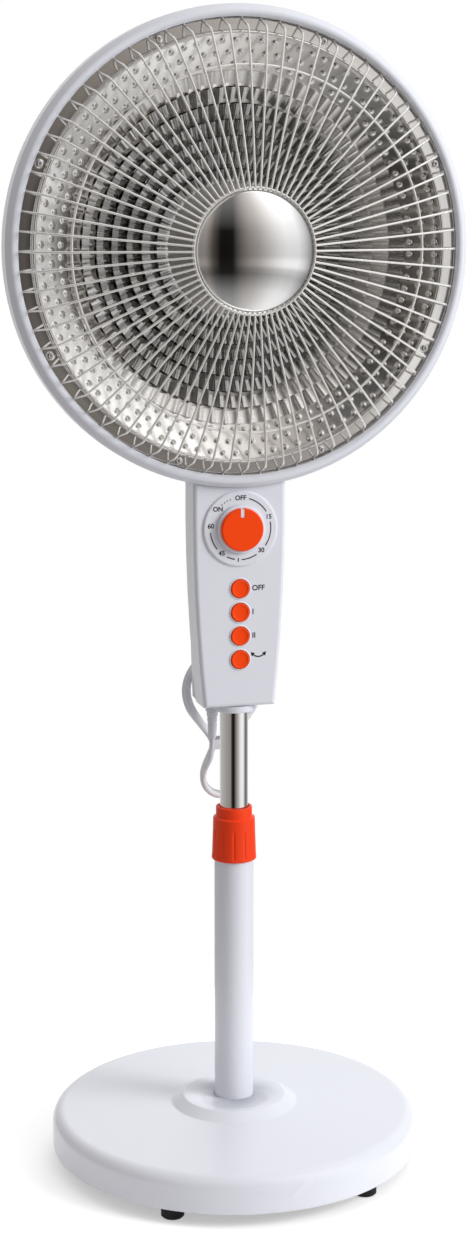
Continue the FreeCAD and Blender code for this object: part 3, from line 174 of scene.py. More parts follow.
def plated(name, colour, rough, streak=(1.0, 1.0, 1.0), wave=0.00002, metal=1.0):
    """Bright plate: clouded polish and a slightly uneven sheet under it."""
    s = Shader(name, colour, rough, metal)
    s.tint(s.noise(size=0.05), dark=0.94, light=1.02)
    s.polish(s.noise(size=0.01, detail=5.0, stretch=streak), spread=rough * 0.9)
    s.bump(s.noise(size=0.004, detail=2.0, stretch=streak), high=wave)
    return s.mat


# Brightness and roughness of the reflector between two distances from its axis:
# the core, the tiers darkened by painted shade, the satin band and the flange
SHEET_NEAR, SHEET_FAR = 0.049, 0.2
PAINTED_SHADE_RAMP = [(0.0, 0.9), (0.05, 0.9), (0.07, 0.38), (0.37, 0.4),
           (0.462, 0.55), (0.536, 0.8), (0.611, 1.0)]
SATIN = [(0.0, 0.3), (0.05, 0.3), (0.07, 0.05), (0.638, 0.05),
         (0.662, 0.1), (0.833, 0.1), (0.861, 0.05)]
SATIN_CLOUD = 0.03
SHEET_ROUGH = 0.055


def mirror_sheet(name, colour):
    """Bright rolled sheet, darkened by painted shade towards the middle of the dish."""
    s = Shader(name, colour, SHEET_ROUGH, 1.0)
    coords = s.add("ShaderNodeTexCoord")
    flat = s.add("ShaderNodeMapping", Scale=(1.0, 0.0, 1.0), Location=(0.0, 0.0, -HEAD_Z * MM))
    s.link(coords.outputs["Object"], flat.inputs["Vector"])
    reach = s.add("ShaderNodeVectorMath", operation="LENGTH")
    s.link(flat.outputs["Vector"], reach.inputs[0])
    span = s.add("ShaderNodeMapRange")
    span.inputs["From Min"].default_value = SHEET_NEAR
    span.inputs["From Max"].default_value = SHEET_FAR
    s.link(reach.outputs["Value"], span.inputs["Value"])
    # Painted shade: the base colour is darker over the tiers than over the core, band and flange, standing
    # in for the dark reflections deep in the dish
    painted_shade = s.add("ShaderNodeValToRGB")
    fill_ramp(painted_shade, [(place, *[c * share for c in colour]) for place, share in PAINTED_SHADE_RAMP])
    s.link(span.outputs["Result"], painted_shade.inputs["Fac"])
    s.link(painted_shade.outputs["Color"], s.main.inputs["Base Color"])
    satin = s.add("ShaderNodeValToRGB")
    fill_ramp(satin, [(place, rough, rough, rough) for place, rough in SATIN])
    s.link(span.outputs["Result"], satin.inputs["Fac"])
    uneven = s.add("ShaderNodeMath", operation="MULTIPLY_ADD")
    uneven.inputs[1].default_value = SATIN_CLOUD
    s.link(s.noise(size=0.01), uneven.inputs[0])
    s.link(satin.outputs["Color"], uneven.inputs[2])
    s.link(uneven.outputs[0], s.main.inputs["Roughness"])
    s.bump(s.noise(size=0.009, detail=2.0), high=0.000012)
    return s.mat


def rough_skin(name, colour, rough, grain, high, metal=0.0, gloss=0.5):
    """Rubber, cast and plain parts: grainy surface."""
    s = Shader(name, colour, rough, metal)
    s.set("Specular IOR Level", gloss)
    s.tint(s.noise(size=grain * 12, detail=4.0), dark=0.7, light=1.2)
    s.polish(s.noise(size=grain * 6), spread=0.16)
    s.bump(s.noise(size=grain), high=high)
    return s.mat


def quartz_glass(name, colour, rough):
    s = Shader(name, colour, rough)
    s.polish(s.noise(size=0.01), spread=0.02)
    s.set("Transmission Weight", 0.9)
    s.set("IOR", 1.45)
    s.set("Alpha", 0.55)
    return s.mat


WHITE = (0.77, 0.79, 0.86)
INK_BLACK = (0.02, 0.02, 0.022)
MATERIALS = {}


def keep(name, make, *values, **named):
    MATERIALS[name] = make(name, *values, **named)


keep("white_gloss", moulded, WHITE, 0.26)
keep("white_paint", moulded, WHITE, 0.3)
keep("orange_gloss", moulded, (1.0, 0.066, 0.002), 0.32, gloss=0.25)
keep("orange_nut", moulded, (0.9, 0.055, 0.01), 0.4, peel=0.00003, gloss=0.25)
keep("chrome", plated, (0.9, 0.895, 0.89), 0.06, streak=(1.0, 1.0, 0.1), wave=0.000004)
keep("chrome_wire", plated, (0.96, 0.95, 0.925), 0.22, metal=0.6)
keep("mirror_sheet", mirror_sheet, (0.93, 0.913, 0.89))
keep("steel", rough_skin, (0.56, 0.56, 0.57), 0.35, grain=0.0008, high=0.00002, metal=1.0)
keep("black_steel", rough_skin, (0.03, 0.03, 0.032), 0.5, grain=0.001, high=0.00005)
keep("cast_iron", rough_skin, (0.16, 0.16, 0.165), 0.7, grain=0.002, high=0.0003, metal=0.6)
keep("foot_rubber", rough_skin, (0.012, 0.013, 0.014), 0.6, grain=0.0009, high=0.00008, gloss=0.2)
keep("natural_plastic", moulded, (0.68, 0.66, 0.6), 0.45)
keep("ceramic_white", rough_skin, (0.8, 0.78, 0.73), 0.65, grain=0.001, high=0.00005)
keep("quartz", quartz_glass, (0.95, 0.96, 0.97), 0.03)
keep("carbon", rough_skin, (0.02, 0.02, 0.021), 0.55, grain=0.0006, high=0.00008)
keep("cord_white", moulded, (0.74, 0.75, 0.79), 0.42, peel=0.00002)
keep("tie_white", moulded, (0.7, 0.7, 0.72), 0.4)
keep("plug_brass", plated, (0.8, 0.72, 0.52), 0.22)
keep("print_ink", rough_skin, INK_BLACK, 0.5, grain=0.0006, high=0.00001)

for part in frame["record"]["subparts"]:
    node_mesh = frame["nodes"][part["node"]].data
    node_mesh.materials.clear()
    node_mesh.materials.append(MATERIALS[part["material_slot"]])


# Helpers for new pieces

def add_piece(name, data, body, slot):
    obj = bpy.data.objects.new(name, data)
    scene.collection.objects.link(obj)
    data.materials.append(MATERIALS[slot])
    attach(obj, body)
    return obj


def mesh_piece(name, verts, faces, body, slot):
    mesh = bpy.data.meshes.new(name)
    mesh.from_pydata([Vector(v) * MM for v in verts], [], faces)
    mesh.update()
    if slot != "print_ink":
        mesh.shade_smooth()
    return add_piece(name, mesh, body, slot)


def add_ring(verts, spots):
    """Add points and give their numbers."""
    start = len(verts)
    verts.extend(spots)
    return list(range(start, len(verts)))


def join_rings(faces, one, two):
    """Faces between two rings of points, either of which may be a single point."""
    count = max(len(one), len(two))
    for j in range(count):
        k = (j + 1) % count
        if len(one) == 1:
            faces.append((one[0], two[k], two[j]))
        elif len(two) == 1:
            faces.append((one[j], one[k], two[0]))
        else:
            faces.append((one[j], one[k], two[k], two[j]))


def skin(faces, rings, capped=False):
    """Faces from ring to ring, and over the two ends where capped."""
    for one, two in zip(rings, rings[1:]):
        join_rings(faces, one, two)
    if capped:
        faces.append(tuple(reversed(rings[0])))
        faces.append(tuple(rings[-1]))


def circle(radius, count):
    """Points (a, b) round a circle; no radius gives one point."""
    if not radius:
        return [(0.0, 0.0)]
    angles = [TURN * j / count for j in range(count)]
    return [(radius * math.cos(t), radius * math.sin(t)) for t in angles]


def lathe(verts, faces, rows, count, centre, axis="z"):
    """Rows of (radius, height) turned about an axis through centre."""
    x, y, z = centre
    rings = []
    for radius, high in rows:
        if axis == "z":
            spots = [(x + a, y + b, z + high) for a, b in circle(radius, count)]
        else:
            spots = [(x + a, y - high, z + b) for a, b in circle(radius, count)]
        rings.append(add_ring(verts, spots))
    skin(faces, rings)


def head_point(radius, depth, angle):
    """A point of the head: depth is its distance in front of the pole axis."""
    return (radius * math.cos(angle), -depth, HEAD_Z + radius * math.sin(angle))


def wire_curve(name, radius, sides, steps):
    curve = bpy.data.curves.new(name, "CURVE")
    curve.dimensions = "3D"
    curve.bevel_depth = radius * MM
    curve.bevel_resolution = sides
    curve.resolution_u = steps
    curve.use_fill_caps = True
    return curve


def smooth_wire(curve, spots):
    """One open NURBS spline that starts and ends at its end points."""
    spline = curve.splines.new("NURBS")
    spline.points.add(len(spots) - 1)
    for point, spot in zip(spline.points, spots):
        point.co = (*[c * MM for c in spot], 1.0)
    spline.order_u = 3
    spline.use_endpoint_u = True


# Mains lead: one smooth curve in a hank, with its strain relief and tie

CORD = 5.0
EXIT = (-12.0, 30.0, 380.0)
PLUG_TOP = (30.0, 114.0, 445.0)
LOOPS = 5
HANK_X, HANK_Y, HANK_STEP = 6.0, 50.5, 6.7
HANK_MID = HANK_Y + 2 * HANK_STEP
LOW_Z, WAIST_Z, HIGH_Z = 336.0, 367.0, 417.0
LOW_R, WAIST, HIGH_R = 17.5, 6.5, 33.0
# Degrees by which a bow goes on past its half circle, and between its points
LOW_WRAP, HIGH_WRAP, BOW_STEP = 24, 27, 30
# Control points lie outside the round that the curve makes
SWELL = 1.035
# Loops differ in size, a low one by a share of a high one
SPREAD, LOW_SPREAD = 2.0, 0.3
LEAN_X, LEAN_Z = 0.25, -0.15


def lean(spot):
    """Shift a point of the hank by its depth, as the loops hang askew."""
    x, y, z = spot
    return (x + LEAN_X * (y - HANK_MID), y, z + LEAN_Z * (y - HANK_MID))


def bow(y, z, radius, first, last):
    """Control points of a round end of the hank, between two angles in degrees."""
    count = round(abs(last - first) / BOW_STEP)
    reach = radius * SWELL
    points = []
    for i in range(count + 1):
        t = math.radians(first + (last - first) * i / count)
        points.append(lean((HANK_X + reach * math.cos(t), y, z + reach * math.sin(t))))
    return points


def eased(points, spot):
    """Go on to spot, with a point after the bow as far from it as the bow's own step."""
    step = math.dist(points[-2], points[-1])
    share = step / math.dist(points[-1], spot)
    points.append(tuple(a + (b - a) * share for a, b in zip(points[-1], spot)))
    points.append(spot)


def join_bow(points, arc):
    """Add a bow, with a point before it as far from it as its own step."""
    approach = [arc[1], arc[0]]
    eased(approach, points[-1])
    points.append(approach[2])
    points.extend(arc)


def cord_route():
    """Control points from the strain relief, through the hank, over to the plug."""
    points = [EXIT, (-12.0, 30.0, 373.0), (-12.6, 34.0, 360.0), (-15.0, 46.0, 347.5)]
    for number in range(LOOPS):
        y = HANK_Y + HANK_STEP * number
        spread = SPREAD * math.sin(2.0 * number)
        low_r = LOW_R + LOW_SPREAD * abs(spread)
        if number:
            join_bow(points, bow(y, LOW_Z, low_r, 180 - LOW_WRAP, 360 + LOW_WRAP))
        else:
            points.extend(bow(y, LOW_Z, low_r, 180, 360 + LOW_WRAP))
        eased(points, lean((HANK_X + WAIST, y, WAIST_Z)))
        if number < LOOPS - 1:
            join_bow(points, bow(y, HIGH_Z, HIGH_R + spread, -HIGH_WRAP, 180 + HIGH_WRAP))
            eased(points, lean((HANK_X - WAIST, y + HANK_STEP, WAIST_Z)))
    side = lean((HANK_X + HIGH_R + spread, y, HIGH_Z))
    eased(points, side)
    points += [(side[0], side[1], 450.0), (38.0, side[1] + 3.2, 464.0), (35.0, 95.6, 470.5),
               (31.5, PLUG_TOP[1] - 3.2, 464.0), (PLUG_TOP[0], PLUG_TOP[1], 450.0), PLUG_TOP]
    return points


def make_cord():
    curve = wire_curve("mains_lead", CORD / 2, sides=4, steps=6)
    smooth_wire(curve, cord_route())
    obj = add_piece("mains_lead", curve, "upper", "cord_white")
    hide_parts("cord_hank")
    return obj


# Strain relief as (radius, height), from its tip up to its grooves and from there to its collar
SLEEVE_LOW, SLEEVE_LONG = EXIT[2], 29.0
SLEEVE_TIP = [(0.0, 380.0), (3.0, 380.0), (3.4, 380.4), (3.6, 381.4), (4.0, 388.0)]
SLEEVE_COLLAR = [(4.95, 401.0), (5.0, 404.8), (5.7, 405.0), (6.0, 405.4), (6.0, 409.0), (0.0, 409.0)]
SLEEVE_R, SLEEVE_TAPER = 3.5, 1.5
SLEEVE_POINTS = 40
# Upper edges of the grooves, and their rows as distances in and down from there
SLEEVE_GROOVES = (395.6, 400.2)
SLEEVE_GROOVE = [(0.1, 1.6), (0.35, 1.1), (0.35, 0.5), (0.0, 0.0)]


def make_relief():
    """Smooth tapered strain relief with a collar and two shallow grooves."""
    rows = list(SLEEVE_TIP)
    for z in SLEEVE_GROOVES:
        out = SLEEVE_R + SLEEVE_TAPER * (z - SLEEVE_LOW) / SLEEVE_LONG
        rows += [(out - inset, z - down) for inset, down in SLEEVE_GROOVE]
    rows += SLEEVE_COLLAR
    verts, faces = [], []
    lathe(verts, faces, rows, SLEEVE_POINTS, (EXIT[0], EXIT[1], 0.0))
    obj = mesh_piece("relief_sleeve", verts, faces, "upper", "cord_white")
    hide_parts("strain_relief")
    return obj


STRAP_REACH = 4.2
STRAP_CORNER = 3.0
STRAP_SECTION = [(-0.6, -3.9), (-0.45, -4.4), (0.0, -4.5), (0.45, -4.4), (0.6, -3.9), (0.62, 0.0),
                 (0.6, 3.9), (0.45, 4.4), (0.0, 4.5), (-0.45, 4.4), (-0.6, 3.9), (-0.58, 0.0)]


def make_tie():
    """Soft strap round the waist of the hank."""
    half_x = WAIST + STRAP_REACH - STRAP_CORNER
    half_y = 2 * HANK_STEP + STRAP_REACH - STRAP_CORNER
    verts, faces, rings = [], [], []
    for side_x, side_y, start in ((1, 1, 0), (-1, 1, 90), (-1, -1, 180), (1, -1, 270)):
        for turn in QUARTER:
            t = math.radians(start) + turn
            spots = []
            for out, up in STRAP_SECTION:
                x = HANK_X + side_x * half_x + (STRAP_CORNER + out) * math.cos(t)
                y = HANK_MID + side_y * half_y + (STRAP_CORNER + out) * math.sin(t)
                spots.append(lean((x, y, WAIST_Z + up)))
            rings.append(add_ring(verts, spots))
    skin(faces, rings[:1] + rings[::-1])
    obj = mesh_piece("hank_strap", verts, faces, "upper", "tie_white")
    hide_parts("cord_tie")
    return obj


lead = make_cord()
relief = make_relief()
strap = make_tie()


# Reflector: mirror flange, rolled lip, studded band, scooped tiers, smooth core

FLANGE = [(197.0, 22.0), (190.0, 23.0), (184.0, 23.9), (180.2, 24.4), (179.2, 24.6)]
LIP = [(179.2, 24.6), (178.7, 25.0), (178.5, 26.4), (178.4, 27.6), (178.0, 28.7), (177.3, 29.25),
       (176.6, 29.3), (176.1, 29.0), (175.7, 28.7), (175.4, 28.4)]
ROUND = 240
BAND_R, BAND_W = LIP[-1]
BAND_WIDTH, BAND_DROP, BAND_SAG = 28.4, 15.0, 0.2
BAND_STEPS = 39
STUDS, STUD_ROWS, STUD_PITCH = 96, 3, 10.2
STUD_HIGH, STUD_REACH, STUD_POINTS = 1.3, 2.6, 12
TIERS = 6
TIER_R, TIER_W = 147.0, 15.5
TIER_WIDTH, TIER_DROP, TIER_SAG = 80.0, 20.5, 18.4
TIER_STEPS = 9
FACETS, FACET_POINTS = 80, 8
# Rise of each tier's outer edge over the one before, and hollow of its facets
SHINGLE = (0.0, 2.6, 3.6, 4.4, 5.0, 5.6, 3.6)
HOLLOW = (1.6, 1.6, 1.7, 1.7, 1.6, 1.4, 1.0)
HOLLOW_FADE = 0.3
RISER_LEAN, TIER_SINK = 0.3, 0.7
CORE_R, CORE_W = 55.5, -5.2
CORE = [(CORE_R, -5.9), (CORE_R - 0.7, -5.95), (CORE_R - 1.6, -6.0),
        (45.0, -6.0), (30.0, -6.0), (24.4, -6.0)]
CORE_ROUND = 160


def tier_at(tier):
    """Outer edge of a tier; the last, short tier leads from the sixth to the core."""
    part = tier / TIERS
    if part > 1.0:
        return CORE_R, CORE_W
    depth = TIER_W - TIER_DROP * part - TIER_SAG * part * (1.0 - part)
    return TIER_R - TIER_WIDTH * part, depth


def ring_patch(verts, faces, rows, count, lift=None):
    """A band of faces through rows of (radius, depth); lift adds to the depth."""
    rings = []
    for i, (radius, depth) in enumerate(rows):
        spots = []
        for j in range(count):
            extra = lift(i / (len(rows) - 1), j / count) if lift else 0.0
            spots.append(head_point(radius, depth + extra, TURN * j / count))
        rings.append(add_ring(verts, spots))
    skin(faces, rings)


def studs(part, around):
    """Height of the pressed studs, in staggered rows on a smooth sheet."""
    row = min(STUD_ROWS - 1, int(part * STUD_ROWS))
    across = (part * STUD_ROWS - row - 0.5) * STUD_PITCH
    radius = BAND_R - BAND_WIDTH * part
    along = ((around * STUDS + 0.5 * (row % 2)) % 1.0 - 0.5) * TURN * radius / STUDS
    far = min(1.0, math.hypot(across, along) / STUD_REACH)
    return STUD_HIGH * 0.5 * (1 + math.cos(math.pi * far))


def hollows(tier, share):
    """Hollow facets of a tier; share gives how much of it there is along the way in."""
    def lift(part, around):
        across = ((around * FACETS + 0.5 * (tier % 2)) % 1.0 - 0.5) * 2
        return -HOLLOW[tier] * (1 - across * across) * share(part)
    return lift


def make_tier(verts, faces, tier):
    """A riser that takes on the hollows of its facets, and the facets, most hollow at their rim."""
    count = FACETS * FACET_POINTS
    outer_r, outer_w = tier_at(tier)
    inner_r, inner_w = tier_at(tier + 1)
    crest_r, crest_w = outer_r - RISER_LEAN, outer_w + SHINGLE[tier]
    foot = outer_w - TIER_SINK if tier else BAND_W - BAND_DROP
    riser = [(outer_r, foot), (outer_r - RISER_LEAN / 2, (foot + crest_w) / 2), (crest_r, crest_w)]
    ring_patch(verts, faces, riser, count, hollows(tier, lambda part: part))
    facets = []
    for i in range(TIER_STEPS + 1):
        part = i / TIER_STEPS
        depth = crest_w + (inner_w - TIER_SINK - crest_w) * part
        facets.append((crest_r + (inner_r - crest_r) * part, depth))
    ring_patch(verts, faces, facets, count, hollows(tier, lambda part: 1 - HOLLOW_FADE * part))


def make_reflector():
    verts, faces = [], []
    ring_patch(verts, faces, FLANGE, ROUND)
    ring_patch(verts, faces, LIP, ROUND)
    band = []
    for i in range(BAND_STEPS + 1):
        part = i / BAND_STEPS
        depth = BAND_W - BAND_DROP * part - BAND_SAG * math.sin(math.pi * part)
        band.append((BAND_R - BAND_WIDTH * part, depth))
    ring_patch(verts, faces, band, STUDS * STUD_POINTS, studs)
    for tier in range(TIERS + 1):
        make_tier(verts, faces, tier)
    ring_patch(verts, faces, CORE, CORE_ROUND)
    obj = mesh_piece("reflector_sheet", verts, faces, "upper", "mirror_sheet")
    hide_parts("reflector")


make_reflector()


# Flange screws: crossed pan heads

SCREW_POINTS = 24
# Shares of a head's radius and height; its recess has four arms
SCREW_ROWS = [(1.0, 0.0), (0.98, 0.35), (0.86, 0.72), (0.66, 0.92), (0.44, 1.0),
              (0.30, 1.0), (0.20, 0.3), (0.0, 0.25)]
RECESS = (0.30, 0.20)
RECESS_SHARE, RECESS_ARM = 0.55, 0.28
FLANGE_SCREWS = (22.5, 67.5, 112.5, 157.5, 207.5, 252.5, 292.5, 332.5)
FLANGE_SCREW_ORBIT, FLANGE_SCREW_W = 184.3, 23.2
FLANGE_SCREW_R, FLANGE_SCREW_HIGH = 4.2, 2.6


def screw_head(verts, faces, radius, high, place):
    """A pan head, its axis along w; place maps (a, b, w) to a point."""
    rings = []
    for share, up in SCREW_ROWS:
        spots = []
        for j in range(SCREW_POINTS if share else 1):
            t = TURN * j / SCREW_POINTS
            reach = share
            if share in RECESS:
                reach = share * RECESS_SHARE + RECESS_ARM * abs(math.cos(2 * t)) ** 3
            spots.append(place(radius * reach * math.cos(t), radius * reach * math.sin(t), high * up))
        rings.append(add_ring(verts, spots))
    skin(faces, rings)


def make_flange_screws():
    verts, faces = [], []
    for degrees in FLANGE_SCREWS:
        x, y, z = head_point(FLANGE_SCREW_ORBIT, FLANGE_SCREW_W, math.radians(degrees))
        screw_head(verts, faces, FLANGE_SCREW_R, FLANGE_SCREW_HIGH,
                   lambda a, b, w: (x + a, y - w, z + b))
    mesh_piece("flange_screws", verts, faces, "upper", "chrome")


make_flange_screws()


# Grille: bent spokes and three hoops of plated wire

SPOKES, SPOKE_R = 72, 1.0
SPOKE_PATH = [(190.5, 24.6), (188.4, 24.6), (187.3, 25.2), (186.6, 27.7), (184.2, 35.1), (182.6, 40.2),
              (181.0, 45.0), (175.4, 46.5), (165.0, 49.1), (156.0, 51.5), (150.0, 53.0), (143.0, 54.0),
              (100.0, 60.1), (51.6, 67.0)]
# Radius and depth of each hoop, and its thickness as a share of a spoke's
HOOPS = [(191.4, 24.6, 1.3), (150.0, 51.6, 1.2), (51.6, 66.6, 1.0)]
HOOP_POINTS = 216


def make_grille():
    curve = wire_curve("grille_wires", SPOKE_R, sides=3, steps=4)
    for i in range(SPOKES):
        t = TURN * i / SPOKES
        smooth_wire(curve, [head_point(radius, depth, t) for radius, depth in SPOKE_PATH])
    for orbit, depth, thick in HOOPS:
        spline = curve.splines.new("POLY")
        spline.points.add(HOOP_POINTS - 1)
        for j, point in enumerate(spline.points):
            spot = head_point(orbit, depth, TURN * j / HOOP_POINTS)
            point.co = (*[c * MM for c in spot], 1.0)
            point.radius = thick
        spline.use_cyclic_u = True
    obj = add_piece("grille_wires", curve, "upper", "chrome_wire")
    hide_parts("grille")


make_grille()


# Dome: bright cap, turned finely so that its mirror image is clean

DOME_R, DOME_SAG, DOME_BASE = 49.7, 15.0, 66.6
DOME_STEPS, DOME_POINTS = 24, 128


def make_dome():
    sphere = (DOME_R * DOME_R + DOME_SAG * DOME_SAG) / (2 * DOME_SAG)
    centre = DOME_BASE + DOME_SAG - sphere
    edge = math.asin(DOME_R / sphere)
    rows = [(48.6, 63.9), (52.8, 63.9), (52.8, 65.0), (49.9, 65.2), (DOME_R, 66.0), (DOME_R, DOME_BASE)]
    for i in range(1, DOME_STEPS + 1):
        t = edge * (1 - i / DOME_STEPS)
        rows.append((sphere * math.sin(t), centre + sphere * math.cos(t)))
    verts, faces = [], []
    lathe(verts, faces, rows, DOME_POINTS, (0.0, 0.0, HEAD_Z), axis="y")
    obj = mesh_piece("dome_shell", verts, faces, "upper", "chrome")
    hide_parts("dome_cap")


make_dome()


# Carbon filaments: spirals inside the quartz tubes

FILAMENT_X = 11.0
FILAMENT_WIRE, FILAMENT_R = 0.55, 1.6
FILAMENT_START, FILAMENT_RUN = 8.0, 43.4
FILAMENT_TURNS, TURN_POINTS = 8, 12


def make_filament(tag, x):
    curve = wire_curve("filament_" + tag, FILAMENT_WIRE, sides=2, steps=4)
    count = FILAMENT_TURNS * TURN_POINTS
    spots = []
    for i in range(count + 1):
        depth = FILAMENT_START + FILAMENT_RUN * i / count
        a, y, z = head_point(FILAMENT_R, depth, TURN * i / TURN_POINTS)
        spots.append((x + a, y, z))
    smooth_wire(curve, spots)
    obj = add_piece("filament_" + tag, curve, "upper", "carbon")
    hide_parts("carbon_" + tag)


make_filament("left", -FILAMENT_X)
make_filament("right", FILAMENT_X)


# Base: the cover turned finely, so that its rolled rim shades evenly

# Corners as (radius, height, rounding)
BASE_LINE = [(161.0, 17.0, 0.0), (161.0, 13.0, 0.3), (164.0, 13.0, 0.5), (164.0, 45.0, 11.0),
             (56.5, 49.0, 3.0), (46.0, 56.0, 3.0), (17.85, 56.0, 0.0), (17.85, 53.0, 0.0)]
BASE_POINTS = 240
ROUND_STEPS = 12
# A row this far beside a rounding keeps the run next to it flat
HOLD = 0.8


def towards(start, end, far):
    size = math.dist(start, end)
    return tuple(a + (b - a) * far / size for a, b in zip(start, end))


def direction(start, end):
    return math.atan2(end[1] - start[1], end[0] - start[0])


def half_turn(angle):
    """The same angle, between minus and plus half a turn."""
    return (angle + math.pi) % TURN - math.pi


def soft_rows(line):
    """Rows of (radius, height) along a line of corners, with its roundings."""
    rows = [line[0][:2]]
    for before, here, after in zip(line, line[1:], line[2:]):
        before, corner, after, size = before[:2], here[:2], after[:2], here[2]
        if not size:
            rows.append(corner)
            continue
        inward = direction(corner, before)
        half = half_turn(direction(corner, after) - inward) / 2
        reach = size / abs(math.tan(half))
        far = size / abs(math.sin(half))
        middle = (corner[0] + far * math.cos(inward + half), corner[1] + far * math.sin(inward + half))
        start, end = towards(corner, before, reach), towards(corner, after, reach)
        first = direction(middle, start)
        sweep = half_turn(direction(middle, end) - first)
        rows.append(towards(start, before, min(HOLD, size)))
        for i in range(ROUND_STEPS + 1):
            t = first + sweep * i / ROUND_STEPS
            rows.append((middle[0] + size * math.cos(t), middle[1] + size * math.sin(t)))
        rows.append(towards(end, after, min(HOLD, size)))
    rows.append(line[-1][:2])
    return rows


def make_base():
    verts, faces = [], []
    lathe(verts, faces, soft_rows(BASE_LINE), BASE_POINTS, (0.0, 0.0, 0.0))
    obj = mesh_piece("base_shell", verts, faces, "stand", "white_gloss")
    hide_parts("base_cover")


make_base()


# Lock nut: stepped collar over a barrel with twelve grip grooves

NUT_COLLAR = [(12.85, 321.0), (12.85, 324.4), (13.3, 325.0), (15.2, 325.0), (15.75, 324.75), (16.0, 324.2),
              (16.0, 316.4), (16.15, 315.8), (16.5, 315.5), (17.7, 315.3), (18.25, 315.0), (18.5, 314.3)]
NUT_LIP = [(19.85, 279.9), (19.9, 279.4), (19.9, 278.2), (19.7, 277.5), (19.2, 277.05), (18.6, 277.0),
           (17.9, 277.0), (17.85, 280.0)]
BARREL_R, BARREL_FLARE = 18.55, 1.15
BARREL_TOP, BARREL_HIGH = 313.5, 33.3
BARREL_STEPS = 28
GROOVES, GROOVE_POINTS = 12, 24
GROOVE_R, GROOVE_DEEP, GROOVE_HALF = 19.0, 0.6, 0.85
# Heights where the grooves end, and how far they take to run out
GROOVE_TOP, GROOVE_TOP_FADE = 306.0, 2.0
GROOVE_LOW, GROOVE_LOW_FADE = 279.6, 1.0


def groove_depth(z, angle):
    """Depth of the grip grooves, which run out below the shoulder and above the lip."""
    step = TURN / GROOVES
    across = ((angle / step) % 1.0 - 0.5) * step * GROOVE_R
    above = max(0.0, (GROOVE_TOP - z) / GROOVE_TOP_FADE)
    below = max(0.0, (z - GROOVE_LOW) / GROOVE_LOW_FADE)
    return GROOVE_DEEP * min(1.0, above, below) * math.exp(-(across / GROOVE_HALF) ** 2)


def make_nut():
    rows = list(NUT_COLLAR)
    for i in range(BARREL_STEPS + 1):
        part = i / BARREL_STEPS
        rows.append((BARREL_R + BARREL_FLARE * part, BARREL_TOP - BARREL_HIGH * part))
    rows += NUT_LIP
    count = GROOVES * GROOVE_POINTS
    verts, faces, rings = [], [], []
    for radius, z in rows:
        spots = []
        for j in range(count):
            t = TURN * j / count
            reach = radius - groove_depth(z, t)
            spots.append((reach * math.cos(t), reach * math.sin(t), z))
        rings.append(add_ring(verts, spots))
    skin(faces, rings[::-1])
    obj = mesh_piece("nut_grip", verts, faces, "lock_nut", "orange_nut")
    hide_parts("lock_nut")


make_nut()


# Print on the timer dial and beside the buttons

INK = 0.06
LETTER_WEIGHT = 0.17
PANEL = -20.0
DIAL_FACE = -22.0
DIAL_Z = 575.8
DIAL_WORDS = (("OFF", 0), ("15", 69), ("30", 136.5), ("45", 219), ("60", 276.6), ("ON", 311))
DIAL_ARCS = ((16, 58), (79, 125), (148, 178), (191, 207), (231, 265))
DIAL_BAR, DIAL_BAR_ENDS = 184.5, (25.4, 28.6)
DIAL_DOTS, DIAL_DOT_ENDS = (322, 328, 334, 340), (26.5, 27.5)
DIAL_LETTER, DIAL_LETTER_R = 5.6, 26.6
DIAL_LINE, DIAL_LINE_R, ARC_STEPS = 1.0, 26.8, 24
BUTTONS = {"off": 523.4, "half": 502.6, "full": 481.8, "swing": 461.0}
BUTTON_WORDS = (("OFF", "off"), ("I", "half"), ("II", "full"))
BUTTON_LETTER, BUTTON_LETTER_X = 6.4, 10.8
SWING_X, SWING_Z, SWING_R = 16.6, 469.9, 7.0
SWING_FIRST, SWING_SPAN, SWING_STEPS, SWING_LINE = -143, 106, 16, 1.2
ARROW = ((2.0, 0.0), (-1.5, 2.0), (-1.5, -2.0))


def lettering(name, words, size, x, y, z, align="CENTER"):
    font = bpy.data.curves.new(name, "FONT")
    font.body = words
    font.size = size * MM
    font.align_x = align
    font.align_y = "CENTER"
    font.extrude = INK / 2 * MM
    font.offset = LETTER_WEIGHT * MM
    obj = bpy.data.objects.new(name, font)
    obj.location = (x * MM, (y - INK / 2) * MM, z * MM)
    obj.rotation_euler = (math.pi / 2, 0.0, 0.0)
    scene.collection.objects.link(obj)
    font.materials.append(MATERIALS["print_ink"])
    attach(obj, "upper")


def dial_spot(radius, degrees):
    t = math.radians(degrees)
    return radius * math.sin(t), DIAL_Z + radius * math.cos(t)


def unit(start, end):
    dx, dz = end[0] - start[0], end[1] - start[1]
    size = math.hypot(dx, dz)
    return dx / size, dz / size


def stroke(verts, faces, points, width, y):
    """A printed line of thin ink through points of the panel."""
    half = width / 2
    rings = []
    for i, (x, z) in enumerate(points):
        dx, dz = unit(points[max(0, i - 1)], points[min(len(points) - 1, i + 1)])
        edges = ((-half, 0.0), (half, 0.0), (half, INK), (-half, INK))
        rings.append(add_ring(verts, [(x - dz * side, y - high, z + dx * side) for side, high in edges]))
    skin(faces, rings, capped=True)


def arrow_head(verts, faces, tip, back, y):
    dx, dz = unit(back, tip)
    rings = []
    for high in (0.0, INK):
        spots = []
        for along, side in ARROW:
            spots.append((tip[0] + dx * along - dz * side, y - high, tip[1] + dz * along + dx * side))
        rings.append(add_ring(verts, spots))
    skin(faces, rings, capped=True)


